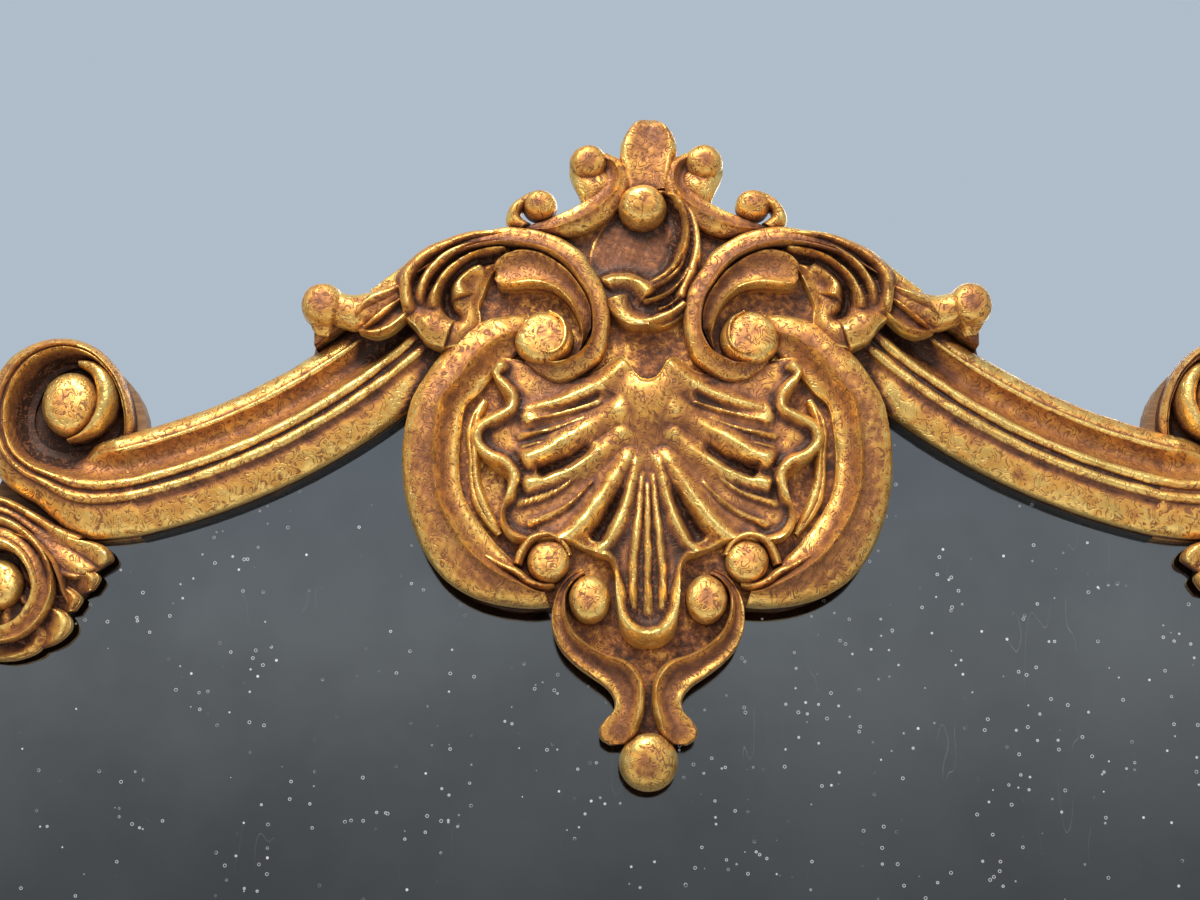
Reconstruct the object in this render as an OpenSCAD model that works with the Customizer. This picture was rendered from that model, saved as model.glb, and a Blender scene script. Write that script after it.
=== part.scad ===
// Overmantel mirror: a pine carcass with carved and gilt mouldings, a shell crest,
// scrolled corners and a shaped glass plate.
// X runs to the right, Y into the wall and Z up. The origin is the middle of the
// bottom edge of the back, where the wall meets the mantel shelf.

/* [Frame] */
// Width over the outer edges of the side mouldings
frame_w = 1200; // [1200:10:1500]
// Height from the shelf to the tip of the palmette
frame_h = 1450; // [1350:10:1700]
// Thickness of the pine carcass
carcass_t = 24; // [22:1:30]
// How far the mouldings overhang the carcass at the outer edge
overhang = 8; // [6:1:12]
// How far the carcass opening lies outside the sight edge
opening_gap = 12; // [11:1:16]
// Length of the half laps where the top rails meet the stiles
lap_l = 70; // [50:1:90]

/* [Moulding] */
// Width of every moulding
mould_w = 82; // [74:1:90]
// Thickness at the outer edge of the moulding
edge_t = 7; // [4:1:10]
// Width of the outer roll
roll_w = 13; // [10:1:15]
// Rise of the outer roll above the back of the moulding
roll_t = 24; // [20:1:26]
// Radius of the thin rib beside the outer roll
rib_r = 2.2; // [1.5:0.1:3]
// Width of the hollow between the rib and the rim
cove_w = 21; // [18:1:24]
// Depth of the hollow
cove_d = 9.5; // [6:0.5:12]
// Radius of the rim along the hollow
rim_r = 4; // [3:0.5:5]
// Width of the groove between the rim and the bead
groove_w = 2.4; // [1.5:0.1:4]
// Radius of the bead beside the groove
bead_r = 4.2; // [3:0.1:5]
// Thickness of the moulding under the rim and the bead
shoulder_t = 27.8; // [26:0.1:30]
// Thickness at the sight edge
sight_t = 18; // [16:1:22]

/* [Swoops] */
// Radius of the outer edge of each swoop
swoop_r = 444; // [420:4:480]
// Distance from the outer edge of the frame to the start of a swoop at its volute
swoop_in = 192; // [184:2:200]
// Slope of a swoop where it runs in behind the crest
swoop_end = 44.5; // [43:0.5:46]

/* [Glass] */
// Thickness of the glass plate
glass_t = 4; // [3:0.5:6]
// Gap between the edge of the glass and the carcass
glass_gap = 2; // [1:0.5:4]
// Width of the dark slip under the sight edge
slip_w = 20; // [16:1:22]
// Thickness of the slip
slip_t = 11.7; // [9:0.1:13]
// How far the slip stands proud of the sight edge
slip_proud = 1.5; // [0:0.5:3]
// Length of a glazing block
block_l = 40; // [25:5:60]
// Width of a glazing block
block_w = 10; // [6:1:12]

/* [Back] */
// Thickness of a backboard
board_t = 7; // [6:0.5:9]
// Gap between neighbouring backboards
board_gap = 1; // [0.5:0.5:3]
// Depth of the backboards' faces below the back of the carcass
board_inset = 1; // [0.5:0.5:2]
// Width of the ledge that the backboards lie on
ledge_w = 12; // [10:1:14]
// Radius of a backboard screw
screw_r = 1.75; // [1.25:0.25:2]
// Radius of a screw head
screw_head_r = 3.5; // [3:0.25:4]
// Length of a screw
screw_l = 14; // [12:1:18]

/* [Wall plates] */
// Thickness of a wall plate
plate_t = 2; // [1.5:0.5:3]
// Width of a wall plate
plate_w = 20; // [18:1:26]
// Radius of the hole for the wall screw
plate_hole_r = 2.75; // [2:0.25:3.5]
// Distance of the wall screw from the edge of the moulding
plate_reach = 12; // [10:1:18]
// Height of the lower pair of plates
plate_z = 300; // [200:10:400]
// Distance between the lower and the upper pair
plate_rise = 550; // [400:10:600]

/* [Crest] */
// Width over the two C-scrolls around the shell
crest_w = 374; // [350:2:400]
// Thickness of the ground block behind the crest carving
crest_t = 34; // [34:1:44]
// Relief of the shell
shell_relief = 30; // [22:1:36]
// Relief of the C-scrolls
ring_relief = 23; // [16:1:28]
// Relief of the leafy scrolls
leaf_relief = 28; // [20:1:34]
// Relief of the tendrils, palmette and side leaves
sprig_relief = 18; // [12:1:24]
// Relief of the pendant scrolls
pendant_relief = 20; // [14:1:24]

/* [Corners] */
// Relief of the acanthus leaves at the corners
corner_relief = 30; // [22:1:36]
// Relief of the volutes that end the swoops
volute_relief = 40; // [34:1:46]
// Thickness of the ground under a corner leaf
ground_t = 10; // [6:1:14]
// Thickness of the ground under a foot leaf
foot_ground_t = 4; // [3:1:8]
// Relief of a foot leaf
foot_relief = 20; // [14:1:26]

/* [Hidden] */
$fn = 64;

// Number of backboards, one node each
board_count = 5;
// Clearance between neighbouring pieces
fit = 0.3;
// Overlap that keeps a cutting tool clear of the face it cuts
over = 1;

// The crest is drawn in units of crest_w / 374, from the hub of the shell
cu = crest_w / 374;
crest_rise = 240;
hub_z = frame_h - crest_rise * cu;
// Where the sight edge of a swoop runs in behind the crest
junction = [138.5, 47];
sight_r = swoop_r + mould_w;
swoop_x = junction[0] * cu + sight_r * sin(swoop_end);
swoop_z = hub_z + junction[1] * cu + sight_r * cos(swoop_end);
// Slope of a swoop where it leaves its volute
swoop_lead = asin((swoop_x - frame_w / 2 + swoop_in) / swoop_r);
// Height of the sight edge where the swoops and the volutes meet
sight_z = swoop_z - sight_r * cos(swoop_lead);

// The corners are drawn in units of mould_w / 82, from the outer edge of the
// side moulding and a line a little above the outer edge of the swoop
mu = mould_w / 82;
corner_rise = 5;
corner_z = swoop_z - swoop_r * cos(swoop_lead) + corner_rise * mu;
edge_x = frame_w / 2;
sight_x = edge_x - mould_w;

mould_y = carcass_t;
rim_t = shoulder_t + rim_r;
bead_t = shoulder_t + bead_r;
relief_y = mould_y + max(rim_t, bead_t);
crest_y = carcass_t + crest_t;

// ---------------------------------------------------------------- curves

// A point of the smooth curve through b and c, a fraction t of the way along
function between(a, b, c, d, t) =
    b + 0.5 * t * ((c - a) + t * ((2 * a - 5 * b + 4 * c - d) + t * (3 * (b - c) + d - a)));
// The smooth curve through the stations s, with n steps from each to the next
function smooth(s, n) = [
    for (i = [0 : len(s) - 2], j = [0 : n - 1])
        between(s[max(i - 1, 0)], s[i], s[i + 1], s[min(i + 2, len(s) - 1)], j / n),
    s[len(s) - 1]
];
// Points of an arc about c from angle a0 to angle a1, in degrees from +X towards +Z
function arc(c, r, a0, a1, n) = [
    for (i = [0 : n]) let (a = a0 + (a1 - a0) * i / n) c + r * [cos(a), sin(a)]
];
// The points mirrored across the middle of the frame
function flip(points) = [for (p = points) [-p[0], p[1]]];
function reversed(list) = [for (i = [len(list) - 1 : -1 : 0]) list[i]];
// Places a station [outer x, outer z, inner x, inner z, height] drawn in units of k
function place(s, o, k, h) = [
    o[0] + k * s[0], o[1] + k * s[1], o[0] + k * s[2], o[1] + k * s[3], h * s[4]
];
function crest_point(p) = [cu * p[0], hub_z + cu * p[1]];
function corner_point(p) = [-edge_x + mu * p[0], corner_z + mu * p[1]];

// Stands an XZ outline up in front of the wall, from y = -a to y = -a - t
module slab(a, t) {
    translate([0, -a, 0]) rotate([90, 0, 0]) linear_extrude(t) children();
}

module mirrored(right) {
    if (right) {
        mirror([1, 0, 0]) children();
    } else {
        children();
    }
}

// The same triangles seen from the other side
function turned(list) = [for (f = list) [f[0], f[2], f[1]]];
// Sign of the turn from the way along a strip to the way across it
function hand(p, q) =
    (q[0] + q[2] - p[0] - p[2]) * (p[3] - p[1]) - (q[1] + q[3] - p[1] - p[3]) * (p[2] - p[0]);

// A carved strip: each station is a line across it from an outer to an inner point,
// and section gives [fraction across, fraction of the height] along that line.
module ribbon(stations, section, steps, base) {
    s = smooth(stations, steps);
    n = len(s);
    m = len(section);
    rings = [
        for (q = s, p = section)
            [q[0] + (q[2] - q[0]) * p[0], -base - q[4] * p[1], q[1] + (q[3] - q[1]) * p[0]]
    ];
    feet = [for (q = [s[0], s[n - 1]]) [(q[0] + q[2]) / 2, -base, (q[1] + q[3]) / 2]];
    first = n * m;
    last = first + 1;
    e = (n - 1) * m;
    skin = [
        for (i = [0 : n - 2], j = [0 : m - 2]) let (a = i * m + j)
            each [[a, a + 1, a + m + 1], [a, a + m + 1, a + m]]
    ];
    back = [
        for (i = [1 : n - 3]) let (a = i * m, b = a + m - 1)
            each [[a, b + m, b], [a, a + m, b + m]]
    ];
    ends = [
        [first, 2 * m - 1, m - 1], [first, m, 2 * m - 1], [first, 0, m],
        [last, e - m, e], [last, e - 1, e - m], [last, e + m - 1, e - 1],
        for (j = [0 : m - 2])
            each [[first, j + 1, j], [last, e + j, e + j + 1]]
    ];
    faces = concat(skin, back, ends);
    half = floor(n / 2);
    polyhedron(
        concat(rings, feet), hand(s[half], s[half + 1]) > 0 ? faces : turned(faces), convexity = 6
    );
}

// A fan of ribs about a hub: stations are [angle from straight down, rim radius, rib]
// for the left half, and rib runs from 0 in a groove to 1 on a crest.
module fan(half, section, depth, relief, base, k) {
    loop = concat(half, [
        for (i = [len(half) - 2 : -1 : 1]) [360 - half[i][0], half[i][1], half[i][2]]
    ]);
    n = len(loop);
    m = len(section);
    rings = [
        for (q = loop, p = section)
            [
                -k * q[1] * p[0] * sin(q[0]),
                -base - relief * p[1] * (1 - depth * (1 - q[2]) * p[0]),
                -k * q[1] * p[0] * cos(q[0])
            ]
    ];
    hub = n * m;
    foot = hub + 1;
    middle = [[0, -base - relief, 0], [0, -base, 0]];
    skin = [
        for (i = [0 : n - 1], j = [0 : m - 2])
            let (a = i * m + j, b = ((i + 1) % n) * m + j)
            each [[a, b + 1, a + 1], [a, b, b + 1]]
    ];
    closing = [
        for (i = [0 : n - 1]) let (a = i * m, b = ((i + 1) % n) * m)
            each [[a + m - 1, b + m - 1, hub], [b, a, foot]]
    ];
    polyhedron(concat(rings, middle), concat(skin, closing), convexity = 6);
}

// ---------------------------------------------------------------- sections

// Section of the moulding: [distance from the outer edge, height above its back]
rib_u = roll_w + rib_r;
cove_u = roll_w + 2 * rib_r;
rim_u = cove_u + cove_w + rim_r;
bead_u = rim_u + rim_r + groove_w + bead_r;
rebate_u = mould_w + slip_proud - slip_w - fit;
function round_over(c, r, a0, a1, n) = [
    for (i = [0 : n]) let (a = a0 + (a1 - a0) * i / n) c + [r[0] * cos(a), r[1] * sin(a)]
];
mould_section = concat(
    [[0, 0]],
    round_over([roll_w, edge_t], [roll_w, roll_t - edge_t], 180, 90, 5),
    round_over([rib_u, roll_t], [rib_r, rib_r], 150, 0, 4),
    [for (t = [0.15 : 0.175 : 0.9])
        [cove_u + cove_w * t, roll_t + (shoulder_t - roll_t) * t - 4 * cove_d * t * (1 - t)]],
    round_over([rim_u, shoulder_t], [rim_r, rim_r], 180, 0, 6),
    round_over([bead_u, shoulder_t], [bead_r, bead_r], 180, 30, 5),
    round_over([bead_u + bead_r, sight_t], [mould_w - bead_u - bead_r, shoulder_t - sight_t],
        85, 0, 5),
    [[mould_w, slip_t + fit], [rebate_u, slip_t + fit], [rebate_u, 0]]
);

// Sections of the carved strips: [fraction across, fraction of the relief]
c_section = [
    [0, 0], [0, 0.36], [0.1, 0.62], [0.24, 0.74], [0.37, 0.84], [0.44, 1], [0.51, 0.88],
    [0.68, 0.66], [0.86, 0.52], [1, 0.44], [1, 0]
];
leaf_section = [
    [0, 0], [0, 0.5], [0.08, 0.84], [0.17, 0.96], [0.28, 0.74], [0.4, 0.94], [0.54, 0.7],
    [0.68, 0.84], [0.84, 0.56], [1, 0.36], [1, 0]
];
volute_section = [
    [0, 0], [0, 0.52], [0.12, 0.74], [0.26, 0.84], [0.34, 0.97], [0.39, 0.8], [0.48, 0.95],
    [0.58, 0.6], [0.7, 0.46], [0.82, 0.76], [0.93, 0.56], [1, 0.24], [1, 0]
];
roll_section = [
    [0, 0], [0.03, 0.5], [0.16, 0.84], [0.36, 1], [0.64, 1], [0.84, 0.84], [0.97, 0.5], [1, 0]
];
hollow_section = [
    [0, 0], [0, 0.72], [0.12, 1], [0.32, 0.7], [0.6, 0.62], [0.86, 0.9], [1, 0.6], [1, 0]
];
fan_section = [[1, 0], [1, 0.4], [0.95, 0.56], [0.82, 0.5], [0.6, 0.62], [0.36, 0.86], [0.14, 1]];

// ---------------------------------------------------------------- outlines

arc_steps = 20;
// Height of the top of the opening over the hub of the shell
opening_top = 30;
// Size of the cut across the upper corners of the opening, behind the corner leaves
corner_cut = 40;
// Half the outline of the opening, grown outwards from the sight edge by d
function opening_half(d) =
    let (
        r = sight_r - d,
        top = hub_z + opening_top * cu + d,
        cut = corner_cut * mu + d * (2 - sqrt(2)),
        start = acos((swoop_z - sight_z - d) / r),
        reach = acos((swoop_z - top) / r)
    )
    concat(
        [[-sight_x - d, mould_w - d], [-sight_x - d, sight_z + d - cut],
            [-sight_x - d + cut, sight_z + d]],
        arc([-swoop_x, swoop_z], r, 270 + start, 270 + reach, arc_steps)
    );
function opening_outline(d) =
    concat(opening_half(d), reversed(flip(opening_half(d))));
module opening2d(d) {
    polygon(opening_outline(d));
}

// The half outline of the crest ground, from the bottom of the pendant to the swoop
crest_low = [
    [0, -259], [-10, -255], [-14, -243], [-11, -232], [-13, -214], [-27, -203], [-44, -194],
    [-58, -180], [-65, -164], [-67, -149], [-78, -143], [-100, -144], [-118, -140],
    [-136, -133], [-150, -122], [-162, -106], [-172, -84], [-178, -56], [-180, -30],
    [-177, -6], [-172, 16], [-178, 45], [-192, 80]
];
// The outline goes on from the swoop to the tip of the palmette
crest_high = [
    [-194, 98], [-189, 108], [-174, 121], [-156, 131], [-140, 136], [-122, 140],
    [-108, 142], [-92, 142], [-82, 146], [-66, 149], [-48, 151], [-34, 162], [-27, 178],
    [-25, 198], [-16, 214], [-12, 226], [0, 234]
];
// A side leaf is drawn in units of crest_w / 374, from this place on the outer edge of
// the swoop
side_slope = 38;
side_place = [-swoop_x, swoop_z] + swoop_r * [sin(side_slope), -cos(side_slope)];
function side_point(p) = side_place + cu * [p[0], p[1]];
// Slope of the swoop where its outer edge, grown by d, passes the drawn distance a
function side_span(a, d) = asin((swoop_x + side_place[0] + a * cu) / (swoop_r + d));
// Top of the ground behind a side leaf, between its two ends on the swoop
side_edge = [[-23, 4], [-24, 16], [-21, 26], [-13, 29], [-4, 22], [6, 19], [21, 20]];
crest_inset = 0.985;
module crest2d() {
    half = [for (p = smooth(concat(crest_low, crest_high), 2)) crest_point(p)];
    polygon(concat(half, reversed(flip(half))));
}

// The arc that a swoop and its slip fill, with a clearance round it
module swoop_arc2d(side) {
    c = [side * swoop_x, swoop_z];
    a = swoop_end + 0.15;
    step = (a - swoop_lead) / arc_steps;
    r = (sight_r + slip_proud + fit) / cos(step / 2);
    polygon(concat(
        [for (i = [arc_steps : -1 : 0]) let (q = swoop_lead + step * i)
            c + (swoop_r - fit) * [-side * sin(q), -cos(q)]],
        [for (i = [0 : arc_steps - 1]) let (q = swoop_lead + step * i)
            c + r * [-side * sin(q), -cos(q)]],
        [c + (r + 6) * [-side * sin(a), -cos(a)]]
    ));
}

// Everything that the carcass covers, less the opening
corner_edge = [
    [overhang, -230], [overhang, -160], [20, -120], [44, -82], [66, -67], [90, -60]
];
lobe = [150, 0];
lobe_r = 60;
lobe_span = [215, -8];
module carcass2d() {
    half = concat(
        [for (p = corner_edge) corner_point(p)],
        arc(corner_point(lobe), lobe_r * mu, lobe_span[0], lobe_span[1], arc_steps),
        arc([-swoop_x, swoop_z], swoop_r + overhang, 270 + swoop_lead + 2,
            270 + side_span(side_edge[0][0], overhang) - 1, arc_steps),
        [for (p = side_edge) side_point(p)],
        [for (p = smooth(crest_high, 2)) crest_point([p[0] * crest_inset, p[1]])]
    );
    difference() {
        polygon(concat(half, reversed(flip(half))));
        opening2d(opening_gap);
    }
}

// ---------------------------------------------------------------- carcass

board_half = 150 * cu;
lap_z = corner_z - 160 * mu;
board_seat = board_t + board_inset;

// Height of the top of the opening, grown by d, at the distance x from the middle
function opening_height(x, d) =
    let (
        r = sight_r - d,
        a = swoop_x - abs(x),
        level = sight_z + d,
        cut = sight_z + sight_x - corner_cut * mu + d * sqrt(2) - abs(x)
    )
    min(cut, hub_z + opening_top * cu + d, max(level, swoop_z - sqrt(r * r - a * a)));

board_pitch = 2 * (sight_x + opening_gap + ledge_w) / board_count;
board_x = [for (i = [0 : board_count - 1]) board_pitch * (i - (board_count - 1) / 2)];
ledge_mid = opening_gap + ledge_w / 2;
board_screws = [
    for (x = board_x, side = [-0.28, 0.28])
        let (q = x + side * board_pitch)
        each [[q, mould_w - ledge_mid], [q, opening_height(q, ledge_mid)]]
];

// Countersunk screw along -Y from the origin, and the hole that it fills
module screw() {
    rotate([90, 0, 0]) rotate_extrude() polygon([
        [0, 0], [screw_head_r, 0], [screw_r, screw_head_r - screw_r],
        [screw_r, screw_l - 2 * screw_r], [0, screw_l]
    ]);
}
module screw_hole(depth) {
    rotate([90, 0, 0]) rotate_extrude() polygon([
        [0, -over], [screw_head_r, -over], [screw_head_r, 0],
        [screw_r, screw_head_r - screw_r], [screw_r, depth], [0, depth]
    ]);
}

// Recess in the back for the backboards, and the pilot holes of their screws
module back_cuts() {
    slab(-over, board_seat + over) opening2d(opening_gap + ledge_w);
    for (p = board_screws) {
        translate([p[0], 0, p[1]]) rotate([90, 0, 0])
            cylinder(r = screw_r, h = screw_l + board_inset);
    }
}

dowel_r = 4;
dowel_l = 50;
dowel_heights = [64, 106];
module dowel_set() {
    for (side = [-1, 1], z = dowel_heights) {
        translate([side * board_half, -carcass_t / 2, hub_z + z * cu])
            rotate([0, 90, 0]) cylinder(r = dowel_r, h = dowel_l, center = true);
    }
    for (side = [-1, 1], z = [lap_z + lap_l / 2, (mould_w - opening_gap) / 2]) {
        translate([side * (sight_x + mould_w / 2 + 2), 0, z])
            rotate([90, 0, 0]) cylinder(r = dowel_r, h = carcass_t);
    }
}

module stile(right) {
    color("peru") difference() {
        mirrored(right) union() {
            slab(0, carcass_t)
                translate([-edge_x + overhang, 0])
                square([mould_w - overhang - opening_gap, lap_z]);
            slab(0, carcass_t / 2) intersection() {
                carcass2d();
                translate([-edge_x, lap_z - over])
                    square([mould_w - opening_gap, lap_l + over]);
            }
        }
        mirrored(right) slab(carcass_t / 2, carcass_t)
            translate([-edge_x, -over]) square([mould_w, mould_w - opening_gap + over + fit]);
        back_cuts();
        dowel_set();
        plate_cuts();
    }
}

module bottom_rail() {
    w = sight_x + opening_gap;
    h = mould_w - opening_gap;
    color("peru") difference() {
        union() {
            slab(0, carcass_t) translate([-w + fit, 0]) square([2 * w - 2 * fit, h]);
            slab(carcass_t / 2, carcass_t / 2)
                translate([-edge_x + overhang, 0]) square([frame_w - 2 * overhang, h]);
        }
        back_cuts();
        dowel_set();
    }
}

module top_rail(right) {
    color("peru") difference() {
        mirrored(right) slab(0, carcass_t) intersection() {
            carcass2d();
            translate([-edge_x, lap_z + fit]) square([edge_x - board_half, crest_w * 2]);
        }
        mirrored(right) slab(-over, carcass_t / 2 + over)
            translate([-edge_x - over, 0])
            square([mould_w - opening_gap + over + fit, lap_z + lap_l + fit]);
        back_cuts();
        dowel_set();
    }
}

module crest_board() {
    color("peru") difference() {
        slab(0, carcass_t) intersection() {
            carcass2d();
            translate([-board_half, hub_z]) square([2 * board_half, crest_w]);
        }
        back_cuts();
        dowel_set();
    }
}

module crest_block() {
    color("saddlebrown") slab(carcass_t, crest_t) difference() {
        crest2d();
        swoop_arc2d(-1);
        swoop_arc2d(1);
    }
}

module dowels() {
    color("burlywood") dowel_set();
}

// ---------------------------------------------------------------- mouldings

module swoop_moulding(right) {
    color("goldenrod") mirrored(right) translate([-swoop_x, 0, swoop_z])
        rotate([90, 0, 0]) rotate([0, 0, 270 + swoop_lead])
        rotate_extrude(angle = swoop_end - swoop_lead)
        translate([swoop_r, mould_y]) polygon(mould_section);
}

leaf_start = 219;
stile_top = corner_z - leaf_start * mu;
mitre = 0.15;

module stile_moulding(right) {
    color("goldenrod") mirrored(right) difference() {
        translate([-edge_x, -mould_y, 0]) linear_extrude(stile_top)
            mirror([0, 1]) polygon(mould_section);
        slab(0, relief_y + over) polygon([
            [-edge_x - over, -over - mitre], [-edge_x - over, mitre - over],
            [-sight_x + over, mould_w + over + mitre], [-sight_x + over, -over - mitre]
        ]);
    }
}

module base_moulding() {
    color("goldenrod") difference() {
        translate([-edge_x, -mould_y, 0]) rotate([90, 0, 90]) linear_extrude(frame_w)
            polygon([for (p = mould_section) [-p[1], p[0]]]);
        for (right = [false, true]) {
            mirrored(right) slab(0, relief_y + over) polygon([
                [-edge_x - over, -over - mitre], [-sight_x + over, mould_w + over - mitre],
                [-edge_x - over, mould_w + over]
            ]);
        }
    }
}

// ---------------------------------------------------------------- slips and glass

slip_top = stile_top - fit;
slip_out = slip_w - slip_proud;

module slip_side(right) {
    color("black") mirrored(right) slab(carcass_t, slip_t)
        translate([-sight_x - slip_out, mould_w + slip_proud + fit])
        square([slip_w, slip_top - mould_w - slip_proud - fit]);
}

module slip_bottom() {
    color("black") slab(carcass_t, slip_t)
        translate([-sight_x - slip_out, mould_w - slip_out])
        square([2 * (sight_x + slip_out), slip_w]);
}

module slip_arc(right) {
    color("black") mirrored(right) translate([-swoop_x, 0, swoop_z])
        rotate([90, 0, 0]) rotate([0, 0, 270 + swoop_lead + 0.1])
        rotate_extrude(angle = swoop_end - swoop_lead - 0.2)
        translate([sight_r - slip_out, carcass_t]) square([slip_w, slip_t]);
}

module mirror_glass() {
    color("dimgray") slab(carcass_t - glass_t, glass_t) opening2d(opening_gap - glass_gap);
}

module glazing_blocks() {
    t = carcass_t - glass_t - board_seat;
    wall = sight_x + opening_gap;
    color("tan") slab(board_seat, t) {
        for (side = [-1, 1], z = [0.12, 0.42, 0.72]) {
            translate([side * (wall - block_w / 2), mould_w + z * sight_z])
                square([block_w, block_l], center = true);
        }
        for (x = [-0.66, -0.22, 0.22, 0.66]) {
            translate([x * wall, mould_w - opening_gap + block_w / 2])
                square([block_l, block_w], center = true);
        }
        for (side = [-1, 1], q = [20, 34]) {
            translate([side * swoop_x, swoop_z]) rotate(-side * q)
                translate([0, opening_gap - sight_r - block_w / 2])
                square([block_l, block_w], center = true);
        }
    }
}

// ---------------------------------------------------------------- back

module backboard(i) {
    color("sienna") difference() {
        slab(board_inset, board_t) intersection() {
            opening2d(opening_gap + ledge_w - board_gap / 2);
            translate([board_x[i] - (board_pitch - board_gap) / 2, 0])
                square([board_pitch - board_gap, frame_h]);
        }
        for (p = board_screws) {
            if (abs(p[0] - board_x[i]) < board_pitch / 2) {
                translate([p[0], -board_inset, p[1]]) screw_hole(board_seat + over);
            }
        }
    }
}

module backboard_screws() {
    color("gray") for (p = board_screws) {
        translate([p[0], -board_inset, p[1]]) screw();
    }
}

plate_in = 44;
plate_screw_x = [18, 34];
plate_heights = [plate_z, plate_z + plate_rise];

// Outline of a wall plate about its height, grown by g, for the left-hand side
module plate2d(g) {
    translate([-edge_x - plate_reach, -plate_w / 2 - g])
        square([plate_in + plate_reach - plate_w / 2, plate_w + 2 * g]);
    for (x = [-edge_x - plate_reach, -edge_x + plate_in - plate_w / 2]) {
        translate([x, 0]) circle(plate_w / 2 + g);
    }
}

module plate_places() {
    for (right = [false, true], z = plate_heights) {
        mirrored(right) translate([0, 0, z]) children();
    }
}

module plate_cuts() {
    plate_places() {
        slab(-over, plate_t + over) plate2d(0);
        for (x = plate_screw_x) {
            translate([x - edge_x, 0, 0]) rotate([90, 0, 0]) cylinder(r = screw_r, h = screw_l);
        }
    }
}

module wall_plates() {
    color("darkgoldenrod") plate_places() difference() {
        slab(0, plate_t) plate2d(0);
        translate([-edge_x - plate_reach, over, 0]) rotate([90, 0, 0])
            cylinder(r = plate_hole_r, h = plate_t + 2 * over);
        for (x = plate_screw_x) {
            translate([x - edge_x, 0, 0]) screw_hole(plate_t + over);
        }
    }
}

module plate_screws() {
    color("gold") plate_places() {
        for (x = plate_screw_x) {
            translate([x - edge_x, 0, 0]) screw();
        }
    }
}

// ---------------------------------------------------------------- crest

// Stations drawn from the hub of the shell, set in the crest with the height h
function crest_stations(list, h) = [for (s = list) place(s, [0, hub_z], cu, h)];

// Left half of the rim of the shell: angle from straight down, radius and rib
shell_rim = [
    [0, 176, 0.75], [3.5, 178, 1], [7, 172, 1], [9, 150, 0.7], [10.5, 128, 0.6],
    [14, 114, 0.6], [18, 112, 0.2], [23, 109, 0.1], [28, 110, 1], [33, 114, 0.6],
    [38, 122, 0.35], [44, 136, 0.3], [50, 143, 0.5], [54, 139, 1], [59, 118, 0.3],
    [63, 115, 0.1], [67, 120, 1], [72, 127, 0.5], [78, 132, 0.3], [84, 132, 0.4],
    [88, 118, 0.7], [92, 105, 1], [97, 111, 0.5], [102, 118, 0.4], [105, 115, 0.7],
    [107, 74, 0.8], [112, 58, 0.9], [120, 51, 1], [132, 49, 0.9], [146, 48, 0.8],
    [158, 47, 0.9], [165, 42, 1], [172, 32, 0.8], [180, 27, 0.6]
];
module crest_shell() {
    color("goldenrod") translate([0, 0, hub_z])
        fan(shell_rim, fan_section, 0.5, shell_relief, crest_y, cu);
}

ring_stations = [
    [-138, 50, -106, 48, 0.4], [-156, 42, -112, 30, 0.7], [-170, 28, -124, 17, 0.9],
    [-180, 12, -135, 7, 1], [-185, -9, -141, -5, 1], [-187, -31, -143, -24, 1],
    [-186, -54, -143, -44, 1], [-182, -75, -140, -62, 1], [-175, -95, -133, -77, 1],
    [-165, -114, -124, -90, 1], [-152, -129, -115, -101, 1], [-135, -140, -107, -111, 1],
    [-118, -146, -101, -119, 0.95], [-101, -149, -94, -127, 0.8], [-86, -150, -86, -134, 0.6],
    [-77, -149, -80, -136, 0.45]
];
module ring_scroll(right) {
    color("goldenrod") mirrored(right)
        ribbon(crest_stations(ring_stations, ring_relief),
            c_section, 2, crest_y);
}

leaf_stations = [
    [-226, 96.5, -223, 95.5, 0.15], [-213, 101, -208, 98, 0.3], [-201, 107, -194, 97, 0.5],
    [-190, 115, -188, 82, 0.8], [-179, 124, -176, 67, 0.9], [-166, 131, -162, 54, 1],
    [-153, 137, -149, 52, 1], [-142, 140, -142, 64, 0.95], [-135, 142, -146, 82, 0.9],
    [-128, 143.5, -143, 92, 0.85], [-122, 145, -135, 88, 0.85], [-115, 146, -130, 94, 0.85],
    [-108, 147, -124, 106, 0.85], [-100, 147, -113, 102, 0.85], [-92, 146, -101, 96, 0.9],
    [-76, 142, -86, 98, 0.9], [-62, 135, -73, 96, 0.95], [-50, 126, -63, 89, 1],
    [-42, 113, -56, 80, 1], [-34, 99, -50, 73, 1], [-29.5, 84, -46, 68, 1],
    [-28, 70, -44, 62, 1], [-30, 56, -46, 55, 0.95], [-35, 43, -50, 49, 0.9],
    [-42, 34.5, -55.5, 44, 0.9], [-52, 27, -62, 38.5, 0.85], [-62, 23.5, -69, 35, 0.8],
    [-74, 23.5, -77, 33.5, 0.75], [-86, 29, -86.5, 34.5, 0.6], [-95, 37.5, -94.5, 39.5, 0.4]
];
module leaf_scroll(right) {
    color("gold") mirrored(right)
        ribbon(crest_stations(leaf_stations, leaf_relief),
            leaf_section, 2, crest_y);
}

plume_stations = [
    [18, 150, -19, 148, 0.5], [31, 144, -27, 140, 0.7], [39, 132, -37, 130, 0.85],
    [39, 117, -38, 116, 0.95], [32, 101, -31, 101, 1], [27, 87, -27, 87, 1],
    [25.5, 74, -24, 73, 0.9], [16, 67, -16, 66, 0.6], [6, 64, -8, 63.5, 0.3]
];
module plume() {
    color("gold") ribbon(crest_stations(plume_stations, leaf_relief),
        leaf_section, 2, crest_y);
}

// Turned boss with a domed face: radius, whole height and height of the dome
module boss(r, t, dome) {
    rotate([90, 0, 0]) rotate_extrude() polygon(concat(
        [[0, 0], [r, 0]],
        [for (i = [0 : 5]) [r * cos(i * 18), t - dome + dome * sin(i * 18)]]
    ));
}

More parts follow.
